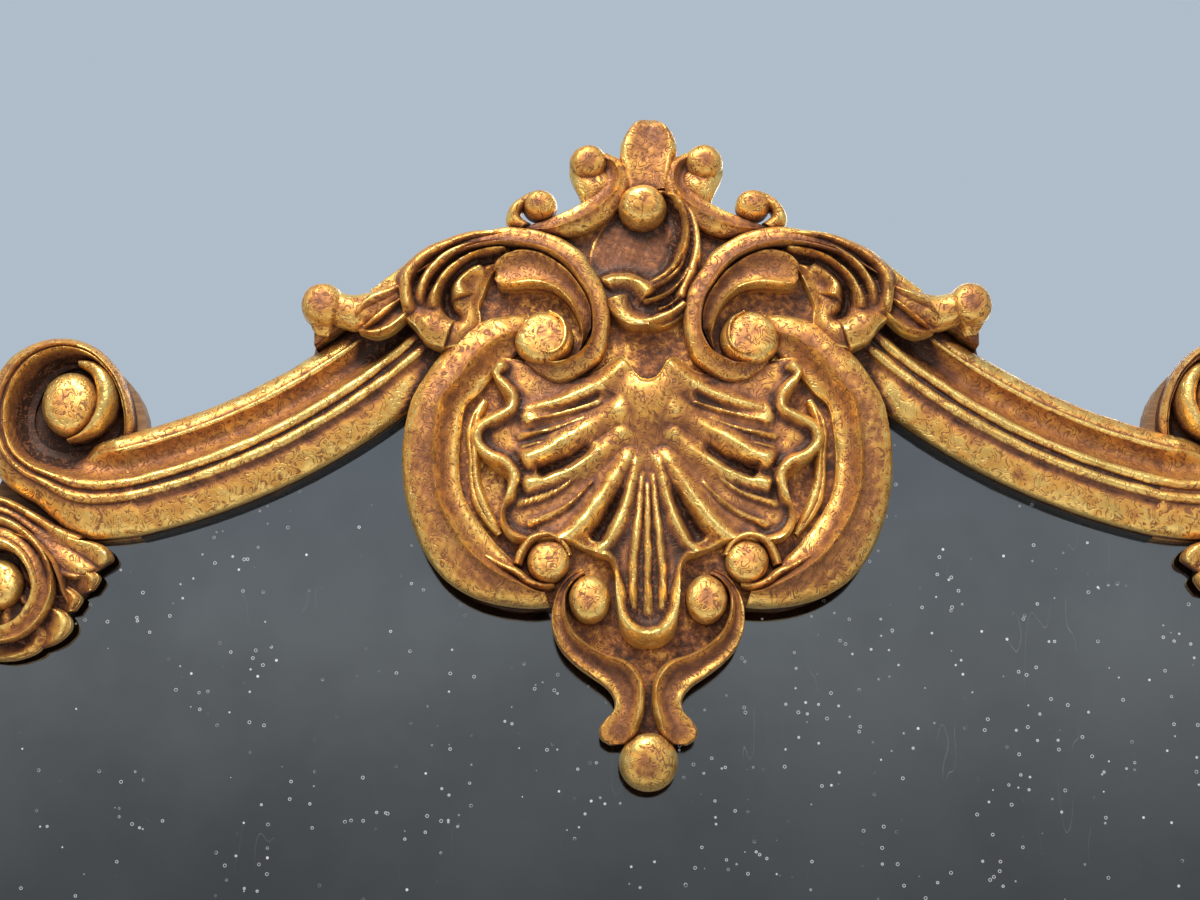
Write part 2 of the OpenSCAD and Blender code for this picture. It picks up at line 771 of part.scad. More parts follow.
plume_ball_place = [0, 167];
plume_ball_r = 16;
module plume_ball() {
    p = crest_point(plume_ball_place);
    color("gold") translate([p[0], -crest_y, p[1]])
        boss(plume_ball_r * cu, leaf_relief, plume_ball_r * cu);
}

palmette_stations = [
    [10, 186, -8, 186, 0.7], [18, 199, -15, 201, 0.9], [23, 211, -18, 214, 1],
    [21, 223, -16, 225, 1], [14, 234, -10, 235, 0.8], [6, 239.5, -3, 240, 0.4]
];
module palmette() {
    color("gold") ribbon(crest_stations(palmette_stations, sprig_relief),
        hollow_section, 2, crest_y);
}

tendril_stations = [
    [-38, 223, -47, 223, 0.5], [-30, 218, -56, 217, 0.9], [-26, 209, -59, 205, 1],
    [-21, 199, -58, 194, 1], [-20, 188, -56, 184, 0.85], [-21, 174, -51, 176, 0.75],
    [-22, 162, -50, 168, 0.7], [-29, 152, -57, 163, 0.7], [-41, 144, -65, 161, 0.7],
    [-55, 141, -71, 164, 0.75], [-68, 145, -75, 170, 0.85], [-82, 149, -80, 177, 1],
    [-95, 151, -90, 178, 0.9], [-105, 153, -99, 173, 0.7], [-109, 159, -105, 166, 0.4]
];
module tendril(right) {
    color("gold") mirrored(right)
        ribbon(crest_stations(tendril_stations, sprig_relief),
            roll_section, 2, crest_y);
}

side_leaf_stations = [
    [-18, 33, -27, 27, 0.6], [-7, 32, -30, 12, 1], [0, 25, -21, 2, 1], [5, 22, -9, 0, 0.85],
    [11, 22.5, 2, 2, 0.7], [18, 23, 11, -6, 0.75], [24, 24, 21, 0, 0.6], [29, 24.5, 28, 4, 0.4]
];
module side_ground(right) {
    color("saddlebrown") mirrored(right) slab(carcass_t, crest_t) polygon(concat(
        [for (p = side_edge) side_point(p)],
        arc([-swoop_x, swoop_z], swoop_r - fit, 270 + side_span(side_edge[6][0], -fit),
            270 + side_span(side_edge[0][0], -fit), 6)
    ));
}

module side_leaf(right) {
    color("gold") mirrored(right)
        ribbon([for (s = side_leaf_stations) place(s, side_place, cu, sprig_relief)],
            roll_section, 2, crest_y);
}

pendant_stations = [
    [-50, -121, -49, -124, 0.3], [-60, -127, -56, -131, 0.6], [-68, -138, -62, -142, 0.8],
    [-72, -152, -61, -152, 0.9], [-71, -166, -58, -163, 0.95], [-65, -182, -51, -172, 1],
    [-55, -193, -41, -180, 1], [-43, -202, -30, -186, 1], [-33, -209, -18, -190, 1],
    [-25, -216, -9, -196, 0.95], [-22, -223, -3, -206, 0.9], [-24, -230, -2, -218, 0.85],
    [-31, -236, -2.5, -229, 0.7], [-34, -241, -6, -238, 0.55], [-26, -244, -12, -242.5, 0.4]
];
module pendant_scroll(right) {
    color("gold") mirrored(right)
        ribbon(crest_stations(pendant_stations, pendant_relief),
            hollow_section, 2, crest_y);
}

pendant_ball_place = [-44, -144];
pendant_ball_r = 15;
drop_place = [0, -262];
drop_r = 19;
module pendant_balls() {
    color("gold") {
        for (side = [-1, 1]) {
            p = crest_point(pendant_ball_place);
            translate([-side * p[0], -crest_y, p[1]])
                boss(pendant_ball_r * cu, pendant_relief, pendant_relief * 0.75);
        }
        q = crest_point(drop_place);
        translate([q[0], -crest_y, q[1]])
            boss(drop_r * cu, pendant_relief, pendant_relief * 0.9);
    }
}

crest_eye_place = [-80, 58];
crest_eye_r = 22;
module crest_eyes() {
    p = crest_point(crest_eye_place);
    color("gold") for (side = [-1, 1]) {
        translate([-side * p[0], -crest_y, p[1]])
            boss(crest_eye_r * cu, leaf_relief * 0.95, leaf_relief * 0.5);
    }
}

button_place = [-74, -115];
button_r = 17;
module ring_buttons() {
    p = crest_point(button_place);
    color("gold") for (side = [-1, 1]) {
        translate([-side * p[0], -crest_y, p[1]])
            boss(button_r * cu, ring_relief * 0.8, ring_relief * 0.3);
    }
}

// ---------------------------------------------------------------- corners

// Stations of the volute, from its neck round the eye
volute_stations = [
    [184, -82, 184, 0, 0.8], [173, -81, 173, -9, 0.8], [155, -77, 167, -15, 0.85],
    [134, -65, 153, -18, 0.9], [113, -51, 138, -15, 0.95], [97, -33, 128, -7, 1],
    [88, -4, 123, 5, 1], [90, 26, 125, 20, 1], [102, 51, 132, 37, 1], [122, 66, 142, 47, 0.95],
    [148, 71, 154, 52, 0.9], [172, 63, 167, 49.5, 0.8], [189, 46, 180, 40, 0.7],
    [198, 28, 189, 27, 0.6], [202, 13, 193, 14, 0.5], [203, 2.5, 195, 4, 0.4]
];
module corner_volute(right) {
    way = [sin(swoop_lead), -cos(swoop_lead)];
    from = [-swoop_x, swoop_z] + sight_r * way;
    to = [-swoop_x, swoop_z] + swoop_r * way;
    neck = [from[0], from[1], to[0], to[1], bead_t];
    color("goldenrod") mirrored(right) ribbon(
        concat([neck], [for (s = volute_stations)
            place(s, [-edge_x, corner_z], mu, volute_relief)]),
        volute_section, 3, mould_y);
}

// Stations of the acanthus, from the top of the side moulding round its eye
acanthus_stations = [
    [0, -218.7, 82, -218.7, 0.74], [0, -184, 80, -194, 0.85], [0, -159, 77, -169, 0.9],
    [2, -134, 73, -142, 0.95], [9, -111, 72, -120, 1], [23, -89, 77, -103, 1],
    [41, -72, 86, -92, 1], [63, -59, 97, -87, 1], [86, -54, 107, -87, 1],
    [104, -55, 115, -91, 1], [119, -61, 122, -98, 1], [134, -69, 129, -108, 0.95],
    [153, -79.5, 132, -116, 0.95], [172, -85, 133.5, -122, 0.9], [190, -91, 133.5, -126, 0.8],
    [181, -103, 132, -130, 0.75], [181, -118, 129.5, -135, 0.8], [169, -131, 125, -139, 0.75],
    [162, -142, 120, -142.5, 0.75], [154, -155, 113, -145.5, 0.75],
    [138, -164, 105, -146, 0.75], [120, -169.5, 97, -145.5, 0.7], [103, -168, 90, -146, 0.6],
    [88, -160, 85.5, -151, 0.4]
];
module acanthus(relief, base) {
    ribbon([for (s = acanthus_stations) place(s, [-edge_x, corner_z], mu, relief)],
        leaf_section, 2, base);
}

// Outline of the ground under an acanthus, a little inside its edge
inset = 0.08;
module acanthus2d() {
    polygon(concat(
        [for (s = acanthus_stations)
            corner_point([s[0] + inset * (s[2] - s[0]), s[1] + inset * (s[3] - s[1])])],
        [corner_point([acanthus_stations[0][2] - 4, acanthus_stations[0][3]])]
    ));
}

leaf_eye_place = [107, -124];
leaf_eye_r = 19;
volute_eye_place = [160, 15];
volute_eye_r = 26;

module corner_leaf(right) {
    color("gold") mirrored(right) acanthus(corner_relief, carcass_t + ground_t);
}

module corner_ground(right) {
    color("saddlebrown") mirrored(right) slab(carcass_t, ground_t) acanthus2d();
}

module corner_eyes() {
    v = corner_point(volute_eye_place);
    e = corner_point(leaf_eye_place);
    color("gold") for (right = [false, true]) {
        mirrored(right) {
            translate([v[0], -mould_y, v[1]])
                boss(volute_eye_r * mu, volute_relief * 0.92, volute_relief * 0.35);
            translate([e[0], -carcass_t - ground_t, e[1]])
                boss(leaf_eye_r * mu, corner_relief * 0.8, corner_relief * 0.35);
        }
    }
}

// The foot leaves repeat the corner leaves upside down, laid on the mitres
foot_drop = 50;
foot_y = relief_y + fit / 2;
module at_foot(right) {
    mirrored(right) translate([0, 0, corner_z - foot_drop * mu]) mirror([0, 0, 1]) children();
}

module foot_leaf(right) {
    color("gold") at_foot(right) acanthus(foot_relief, foot_y + foot_ground_t);
}

module foot_ground(right) {
    color("saddlebrown") at_foot(right) slab(foot_y, foot_ground_t) acanthus2d();
}

module foot_eyes() {
    e = corner_point(leaf_eye_place);
    color("gold") for (right = [false, true]) {
        at_foot(right) translate([e[0], -foot_y - foot_ground_t, e[1]])
            boss(leaf_eye_r * mu, foot_relief * 0.8, foot_relief * 0.35);
    }
}

// ---------------------------------------------------------------- pieces

stile(false);  // stile_left
stile(true);  // stile_right
bottom_rail();
top_rail(false);  // top_rail_left
top_rail(true);  // top_rail_right
crest_board();
crest_block();
dowels();
swoop_moulding(false);  // swoop_moulding_left
swoop_moulding(true);  // swoop_moulding_right
stile_moulding(false);  // stile_moulding_left
stile_moulding(true);  // stile_moulding_right
base_moulding();
slip_side(false);  // slip_left
slip_side(true);  // slip_right
slip_bottom();
slip_arc(false);  // slip_top_left
slip_arc(true);  // slip_top_right
mirror_glass();
glazing_blocks();
backboard(0);  // backboard_1
backboard(1);  // backboard_2
backboard(2);  // backboard_3
backboard(3);  // backboard_4
backboard(4);  // backboard_5
backboard_screws();
wall_plates();
plate_screws();
crest_shell();
ring_scroll(false);  // ring_scroll_left
ring_scroll(true);  // ring_scroll_right
leaf_scroll(false);  // leaf_scroll_left
leaf_scroll(true);  // leaf_scroll_right
plume();
plume_ball();
palmette();
tendril(false);  // tendril_left
tendril(true);  // tendril_right
side_leaf(false);  // side_leaf_left
side_leaf(true);  // side_leaf_right
side_ground(false);  // side_ground_left
side_ground(true);  // side_ground_right
pendant_scroll(false);  // pendant_scroll_left
pendant_scroll(true);  // pendant_scroll_right
pendant_balls();
crest_eyes();
ring_buttons();
corner_volute(false);  // corner_volute_left
corner_volute(true);  // corner_volute_right
corner_leaf(false);  // corner_leaf_left
corner_leaf(true);  // corner_leaf_right
corner_ground(false);  // corner_ground_left
corner_ground(true);  // corner_ground_right
corner_eyes();
foot_leaf(false);  // foot_leaf_left
foot_leaf(true);  // foot_leaf_right
foot_ground(false);  // foot_ground_left
foot_ground(true);  // foot_ground_right
foot_eyes();
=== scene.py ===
"""Looks of an overmantel mirror: worn gold leaf on carved wood round an aged silvered plate.

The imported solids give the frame. The carcass, the backboards, the glass and the fittings
stay as they are and are dressed here. The mouldings and the carving are modelled again,
with their flutes, lips and tool marks.
Shapes are worked out in millimetres, with X to the right, -Y out of the wall towards the
viewer and Z up, and are turned into metres when a mesh is made.
"""

from __future__ import annotations

import logging
import math
from dataclasses import dataclass, replace
from enum import Enum
from typing import Callable, Sequence

import bpy
import numpy as np
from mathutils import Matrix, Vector

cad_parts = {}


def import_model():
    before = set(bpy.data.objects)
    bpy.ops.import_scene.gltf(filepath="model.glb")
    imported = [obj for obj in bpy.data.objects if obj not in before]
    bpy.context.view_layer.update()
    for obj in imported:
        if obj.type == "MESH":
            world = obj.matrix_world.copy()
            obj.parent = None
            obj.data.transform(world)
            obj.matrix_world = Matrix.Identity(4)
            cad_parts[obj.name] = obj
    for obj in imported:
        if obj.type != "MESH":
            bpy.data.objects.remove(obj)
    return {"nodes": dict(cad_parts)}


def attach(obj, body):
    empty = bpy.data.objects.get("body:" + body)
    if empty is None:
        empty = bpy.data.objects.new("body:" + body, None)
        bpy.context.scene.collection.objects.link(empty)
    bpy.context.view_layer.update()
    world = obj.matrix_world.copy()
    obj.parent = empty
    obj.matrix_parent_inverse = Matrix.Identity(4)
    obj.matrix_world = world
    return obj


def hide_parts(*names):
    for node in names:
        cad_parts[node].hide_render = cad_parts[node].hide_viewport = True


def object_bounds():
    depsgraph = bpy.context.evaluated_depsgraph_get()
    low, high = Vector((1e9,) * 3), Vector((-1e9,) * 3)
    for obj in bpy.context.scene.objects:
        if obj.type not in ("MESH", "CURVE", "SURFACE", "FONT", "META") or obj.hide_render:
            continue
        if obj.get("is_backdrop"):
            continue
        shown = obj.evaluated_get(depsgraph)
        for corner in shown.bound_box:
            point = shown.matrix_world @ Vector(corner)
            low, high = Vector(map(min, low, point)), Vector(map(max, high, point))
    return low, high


LOG = logging.getLogger("overmantel")
MM = 0.001

Detail = Callable[[np.ndarray, np.ndarray], np.ndarray]
Body = Callable[[np.ndarray, np.ndarray, np.ndarray], np.ndarray]
Rows = Sequence[Sequence[float]] | np.ndarray
Colour = tuple[float, float, float]


class Side(Enum):
    """The half of the frame that a piece belongs to."""

    LEFT = "left"
    RIGHT = "right"


# ------------------------------------------------------------------ curves and sections


def spline_at(points: np.ndarray, t: np.ndarray) -> np.ndarray:
    """Reads the smooth curve through some points.

    Args:
        points: One row for each point.
        t: Places on the curve, from 0 at the first point to len(points) - 1 at the last.

    Returns:
        The curve's values, with the shape of t and one more axis.
    """
    last = len(points) - 1
    i = np.clip(np.floor(t).astype(int), 0, last - 1)
    f = (np.clip(t, 0, last) - i)[..., None]
    a = points[np.clip(i - 1, 0, last)]
    b = points[i]
    c = points[i + 1]
    d = points[np.clip(i + 2, 0, last)]
    return b + 0.5 * f * ((c - a) + f * ((2 * a - 5 * b + 4 * c - d) + f * (3 * (b - c) + d - a)))


def smooth(points: Rows, steps: int) -> np.ndarray:
    """Refines a list of points to a smooth curve with some steps between neighbours."""
    rows = np.array(points, float)
    return spline_at(rows, np.linspace(0, len(rows) - 1, (len(rows) - 1) * steps + 1))


def ease(x: np.ndarray, low: float, high: float) -> np.ndarray:
    """A soft step from 0 at low to 1 at high."""
    f = np.clip((np.asarray(x, float) - low) / (high - low), 0, 1)
    return f * f * (3 - 2 * f)


@dataclass(frozen=True)
class Section:
    """Cut across a strip, as knots (fraction across, height in millimetres).

    A knot with a third value is a crisp edge. The curve is smooth between such knots.
    """

    knots: tuple[tuple[float, ...], ...]
    steps: int = 5

    def sample(self) -> np.ndarray:
        """Refines the knots to a line that is smooth but for its crisp edges.

        Returns:
            Its points, with the same number of steps between any two knots.
        """
        runs: list[list[Sequence[float]]] = [[self.knots[0][:2]]]
        for knot in self.knots[1:]:
            runs[-1].append(knot[:2])
            if len(knot) > 2:
                runs.append([knot[:2]])
        parts = [smooth(run, self.steps) for run in runs if len(run) > 1]
        return np.concatenate([parts[0]] + [part[1:] for part in parts[1:]])


# ------------------------------------------------------------------ carved solids


@dataclass
class Shell:
    """A closed skin: its points and its faces, as quads and triangles."""

    points: np.ndarray
    quads: np.ndarray
    triangles: np.ndarray

    def triangulated(self) -> np.ndarray:
        """All the faces as triangles."""
        split = np.concatenate([self.quads[:, [0, 1, 2]], self.quads[:, [0, 2, 3]]])
        return np.concatenate([split, self.triangles])

    def flipped(self) -> Shell:
        """The same skin with its faces turned over."""
        return Shell(self.points, self.quads[:, ::-1], self.triangles[:, ::-1])

    def outwards(self) -> Shell:
        """Turns the faces outwards.

        Returns:
            This skin, flipped if its faces pointed inwards.
        """
        t = self.points[self.triangulated()]
        volume = np.einsum("ij,ij->i", t[:, 0], np.cross(t[:, 1], t[:, 2])).sum()
        return self.flipped() if volume < 0 else self

    def normals(self) -> np.ndarray:
        """Averages the faces' normals at each point, by their areas.

        Returns:
            One unit row for each point.
        """
        normal = np.zeros_like(self.points)
        faces = self.triangulated()
        corner = self.points[faces]
        face = np.cross(corner[:, 1] - corner[:, 0], corner[:, 2] - corner[:, 0])
        for k in range(3):
            for axis in range(3):
                normal[:, axis] += np.bincount(faces[:, k], face[:, axis], len(normal))
        return normal / np.maximum(np.linalg.norm(normal, axis=1), 1e-9)[:, None]


def grid_faces(rows: int, columns: int, closed: bool = False) -> np.ndarray:
    """Joins a grid of points, stored row by row, with quads.

    Args:
        rows: How many rows it has.
        columns: How many points each row has.
        closed: Whether the last row is joined to the first.

    Returns:
        The quads' corners.
    """
    i = np.arange(rows if closed else rows - 1)[:, None]
    j = np.arange(columns - 1)[None, :]
    a = i * columns + j
    b = ((i + 1) % rows) * columns + j
    return np.stack([a, a + 1, b + 1, b], axis=-1).reshape(-1, 4)


def strip(
    stations: Rows,
    section: Section,
    base: float,
    steps: int = 10,
    morph: tuple[Section, float, float] | None = None,
    detail: Detail | None = None,
) -> Shell:
    """Carves a strip over a flat back.

    Args:
        stations: Lines across the strip: outer x and z, inner x and z, and a factor that its
            section's heights are multiplied by to give millimetres.
        section: The cut across it.
        base: How far its back lies in front of the wall.
        steps: Steps from one station to the next.
        morph: The section at the strip's start, and where along it the change starts and ends.
        detail: Extra height in millimetres, from the fractions along and across.

    Returns:
        The closed skin of the strip.
    """
    s = smooth(stations, steps)
    cut = section.sample()
    rows, columns = len(s), len(cut)
    u = np.linspace(0, 1, rows)[:, None]
    across = np.broadcast_to(cut[:, 0], (rows, columns)).copy()
    height = np.broadcast_to(cut[:, 1], (rows, columns)).copy()
    if morph:
        first = morph[0].sample()
        f = ease(u, morph[1], morph[2])
        across = first[:, 0] * (1 - f) + across * f
        height = first[:, 1] * (1 - f) + height * f
    height = height * s[:, [4]]
    if detail:
        skirt = 6.0
        ground = np.clip(height, 0, skirt) / skirt
        height = height + ground * detail(np.broadcast_to(u, height.shape), across)
    x = s[:, [0]] + (s[:, [2]] - s[:, [0]]) * across
    z = s[:, [1]] + (s[:, [3]] - s[:, [1]]) * across
    y = -base - height
    points = np.stack([x, y, z], axis=-1).reshape(-1, 3)
    feet = np.array([[(q[0] + q[2]) / 2, -base, (q[1] + q[3]) / 2] for q in (s[0], s[-1])])
    a = np.arange(rows - 1) * columns
    b = a + columns - 1
    back = np.stack([b, a, a + columns, b + columns], axis=-1)
    j = np.arange(columns - 1)
    first_foot = rows * columns
    end = (rows - 1) * columns
    caps = [np.stack([np.full_like(j, first_foot), j + 1, j], axis=-1),
            np.stack([np.full_like(j, first_foot + 1), end + j, end + j + 1], axis=-1),
            np.array([[first_foot, 0, columns - 1], [first_foot + 1, end + columns - 1, end]])]
    quads = np.concatenate([grid_faces(rows, columns), back])
    return Shell(np.concatenate([points, feet]), quads, np.concatenate(caps)).outwards()


def domed(grid: np.ndarray, middle: Sequence[float], base: float) -> Shell:
    """Closes rings of points that rise from a flat back to a middle.

    Args:
        grid: Points by turn and then by ring, from the foot of the rim inwards.
        middle: The middle's x, y and z.
        base: How far the back lies in front of the wall.

    Returns:
        The closed skin.
    """
    turns, columns = grid.shape[:2]
    top = turns * columns
    i = np.arange(turns) * columns
    k = (i + columns) % top
    caps = [np.stack([i + columns - 1, np.full_like(i, top), k + columns - 1], axis=-1),
            np.stack([k, np.full_like(i, top + 1), i], axis=-1)]
    poles = np.array([middle, [middle[0], -base, middle[2]]])
    points = np.concatenate([grid.reshape(-1, 3), poles])
    return Shell(points, grid_faces(turns, columns, True), np.concatenate(caps)).outwards()


@dataclass(frozen=True)
class Knob:
    """A round boss: its place, half width, half height and height, and its face from the rim.

    Its tilt is how much further its face leans out at the bottom than in the middle.
    """

    x: float
    z: float
    wide: float
    tall: float
    height: float
    face: Section
    tilt: float = 0.0
    turns: int = 64

    def carve(self, place: Sequence[float], base: float, share: float = 1.0) -> Shell:
        """Carves the boss.

        Args:
            place: The x and z that its middle is set to.
            base: How far its back lies in front of the wall.
            share: A factor on its height.

        Returns:
            The closed skin.
        """
        a = np.linspace(0, 2 * np.pi, self.turns, endpoint=False)[:, None]
        cut = self.face.sample()[:-1]
        r = 1 - cut[:, 0]
        h = self.height * share * cut[:, 1]
        x = place[0] + self.wide * r * np.cos(a)
        z = place[1] + self.tall * r * np.sin(a)
        y = np.broadcast_to(-base - h, x.shape) + self.tilt * r * np.sin(a) * (h > 0)
        top = -base - self.height * share * self.face.knots[-1][1]
        return domed(np.stack([x, y, z], axis=-1), (place[0], top, place[1]), base)


def along(line: Rows) -> np.ndarray:
    """Draws stations square to a line.

    Args:
        line: Rows of x, z, half width and height.

    Returns:
        One station for each row.
    """
    p = np.array(line, float)
    way = np.gradient(p[:, :2], axis=0)
    way /= np.linalg.norm(way, axis=1)[:, None]
    half = np.stack([-way[:, 1], way[:, 0]], axis=1) * p[:, [2]]
    return np.concatenate([p[:, :2] + half, p[:, :2] - half, p[:, [3]]], axis=1)


@dataclass(frozen=True)
class Flutes:
    """Gouged flutes along a strip, between two fractions of its length.

    power and level shape the round between two grooves.
    """

    count: float
    depth: float
    start: float
    end: float
    soft: float = 0.12
    power: float = 0.75
    level: float = 0.72

    def __call__(self, u: np.ndarray, across: np.ndarray) -> np.ndarray:
        """Works out their extra height.

        Args:
            u: Fractions along the strip.
            across: Fractions across it.

        Returns:
            Millimetres to add to the strip.
        """
        wave = np.abs(np.sin(np.pi * self.count * across)) ** self.power - self.level
        begun = ease(u, self.start, self.start + self.soft)
        return self.depth * wave * begun * (1 - ease(u, self.end - self.soft, self.end))


def wander(points: np.ndarray, size: float, seed: int) -> np.ndarray:
    """Works out slow, seeded unevenness.

    Args:
        points: Rows of x, y and z in millimetres.
        size: How far apart its bumps are, in millimetres.
        seed: The seed of its waves.

    Returns:
        A number for each point, between about -1 and 1.
    """
    waves, scale = 7, 3.2
    random = np.random.default_rng(seed)
    total = np.zeros(len(points))
    for _ in range(waves):
        way = random.normal(size=3)
        way *= 2 * np.pi / (size * np.linalg.norm(way) * random.uniform(0.7, 1.5))
        total += np.sin(points @ way + random.uniform(0, 2 * np.pi))
    return total / scale


def softened(points: np.ndarray, edges: np.ndarray, joined: np.ndarray) -> np.ndarray:
    """Draws points towards their neighbours, which takes the crispness out of a skin.

    Args:
        points: Rows of x, y and z.
        edges: The pairs of points that an edge joins.
        joined: How many edges each point has.

    Returns:
        The points' softened places.
    """
    rounds, share = 5, 0.6
    soft = points
    for _ in range(rounds):
        total = np.zeros_like(soft)
        for axis in range(3):
            for mine, other in ((0, 1), (1, 0)):
                total[:, axis] += np.bincount(edges[:, mine], soft[edges[:, other], axis], len(soft))
        soft = (1 - share) * soft + share * total / np.maximum(joined, 1)[:, None]
    return soft


class ReliefMap:
    """The front of the frame as a grid of distances from the wall.

    It tells how far a point stands out from what lies around it, which is where leaf is rubbed and
    where dirt gathers, and also where painted highlights and painted shade go.
    """

    margin = 10
    facing = -0.2
    near_cells = 2
    far_cells = 7

    def __init__(self, low: Sequence[float], high: Sequence[float], cell: float = 2.0,
                 level: float = 40.0) -> None:
        """Starts a level map.

        Args:
            low: The low corner of the box that it covers, in millimetres.
            high: The high corner.
            cell: The size of its cells.
            level: How far the level map lies in front of the wall.
        """
        self.cell = cell
        self.low = np.array([low[0], low[2]]) - self.margin * cell
        cells = (np.array([high[0], high[2]]) - self.low) / cell + self.margin + 2
        self.front = np.full(cells.astype(int), level)
        self.near = self.front
        self.far = self.front

    def index(self, points: np.ndarray) -> tuple[np.ndarray, ...]:
        """The cells that points lie in."""
        k = ((points[:, [0, 2]] - self.low) / self.cell).astype(int)
        return tuple(np.clip(k, 0, np.array(self.front.shape) - 1).T)

    def lift(self, points: np.ndarray) -> None:
        """Raises the map to some points."""
        np.maximum.at(self.front, self.index(points), -points[:, 1])

    def cover(self, skin: Shell) -> None:
        """Raises the map to a skin's points and to the middles of its quads and their edges.

        Args:
            skin: A skin whose quads are hardly larger than a cell.
        """
        corner = skin.points[skin.quads]
        for points in (skin.points, corner.mean(axis=1), (corner[:, 0] + corner[:, 1]) / 2,
                       (corner[:, 1] + corner[:, 2]) / 2):
            self.lift(points)

    def cover_node(self, node: bpy.types.Object) -> None:
        """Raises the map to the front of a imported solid, whose faces may be large.

        Args:
            node: The solid.
        """
        node.data.calc_loop_triangles()
        points = np.array([v.co[:] for v in node.data.vertices]) / MM
        for face in node.data.loop_triangles:
            if face.normal.y > self.facing:
                continue
            a, b, c = points[list(face.vertices)]
            low, high = np.minimum(a, np.minimum(b, c)), np.maximum(a, np.maximum(b, c))
            x, z = np.meshgrid(np.arange(low[0], high[0] + self.cell, self.cell),
                               np.arange(low[2], high[2] + self.cell, self.cell), indexing="ij")
            area = (b[0] - a[0]) * (c[2] - a[2]) - (c[0] - a[0]) * (b[2] - a[2])
            v = ((x - a[0]) * (c[2] - a[2]) - (c[0] - a[0]) * (z - a[2])) / area
            w = ((b[0] - a[0]) * (z - a[2]) - (x - a[0]) * (b[2] - a[2])) / area
            y = a[1] + v * (b[1] - a[1]) + w * (c[1] - a[1])
            inside = (v >= 0) & (w >= 0) & (v + w <= 1)
            self.lift(np.stack([x, y, z], axis=-1)[inside])

    def settle(self) -> None:
        """Works out the smooth maps that points are compared with."""
        self.near = self.blurred(self.near_cells)
        self.far = self.blurred(self.far_cells)

    def blurred(self, reach: int) -> np.ndarray:
        """Smooths the map three times over a square of cells.

        Args:
            reach: Cells from the middle of the square to its side.

        Returns:
            The smooth map.
        """
        grid = self.front
        side = 2 * reach + 1
        for axis in (0, 1) * 3:
            width = [(0, 0), (0, 0)]
            width[axis] = (reach + 1, reach)
            total = np.cumsum(np.pad(grid, width, mode="edge"), axis=axis)
            first = np.arange(grid.shape[axis])
            grid = (np.take(total, first + side, axis=axis) - np.take(total, first, axis=axis)) / side
        return grid

    def stand(self, points: np.ndarray) -> tuple[np.ndarray, np.ndarray]:
        """How far points stand out, in millimetres, from what is close and what is around."""
        k = self.index(points)
        return -points[:, 1] - self.near[k], -points[:, 1] - self.far[k]


@dataclass(frozen=True)
class WearAndLight:
    """How relief turns into rubbed and dirty places, with painted highlights and painted shade, as
    numbers from 0 to 1.

    Lengths are in millimetres. The tuples with three values hold an amount and the two
    heights between which it comes in, but for kept, which has an amount, a middle and a spread.
    """

    # groove darkens grooves, as dirt and painted shade; edge brightens crisp edges, as rubbed leaf and
    # a painted highlight.
    groove: float = 0.45
    edge: float = 0.8
    close: tuple[float, float] = (-7.0, 3.5)
    close_scale: float = 14.0
    level: float = 0.52
    kept: tuple[float, float, float] = (0.27, -5.0, 4.0)
    proud: tuple[float, float, float] = (0.12, 2.5, 9.0)
    high: tuple[float, float, float] = (0.22, 8.0, 18.0)
    # deep darkens deep recesses, as dirt and painted shade.
    deep: tuple[float, float, float] = (0.42, 7.0, 15.0)
    behind: float = 0.42

    def rub_and_painted_light(self, crisp: np.ndarray, near: np.ndarray) -> np.ndarray:
        """How rubbed places are that stand over their softened skin and over what is close; this
        paints highlights on ridges and shade in grooves.
        """
        crisp = np.where(crisp < 0, self.groove, self.edge) * crisp
        return np.clip(0.5 + crisp + np.clip(near, *self.close) / self.close_scale, 0, 1)

    def hollow(self, far: np.ndarray, share: float) -> np.ndarray:
        """Tells how dull places are, from 0 where dirt lies and shade is painted in deep recesses to 1
        where leaf is kept.

        Args:
            far: How far they stand out from what is around.
            share: How well the piece has kept its leaf in its coves.

        Returns:
            A number for each place.
        """
        amount, middle, spread = self.kept
        bright = amount * share * np.exp(-(((far - middle) / spread) ** 2))
        # The last term darkens deep recesses, as dirt and painted shade.
        for stand, (amount, low, high) in ((far, self.proud), (far, self.high), (-far, self.deep)):
            bright = bright - amount * ease(stand, low, high)
        return np.clip(self.level + bright, 0, 1)


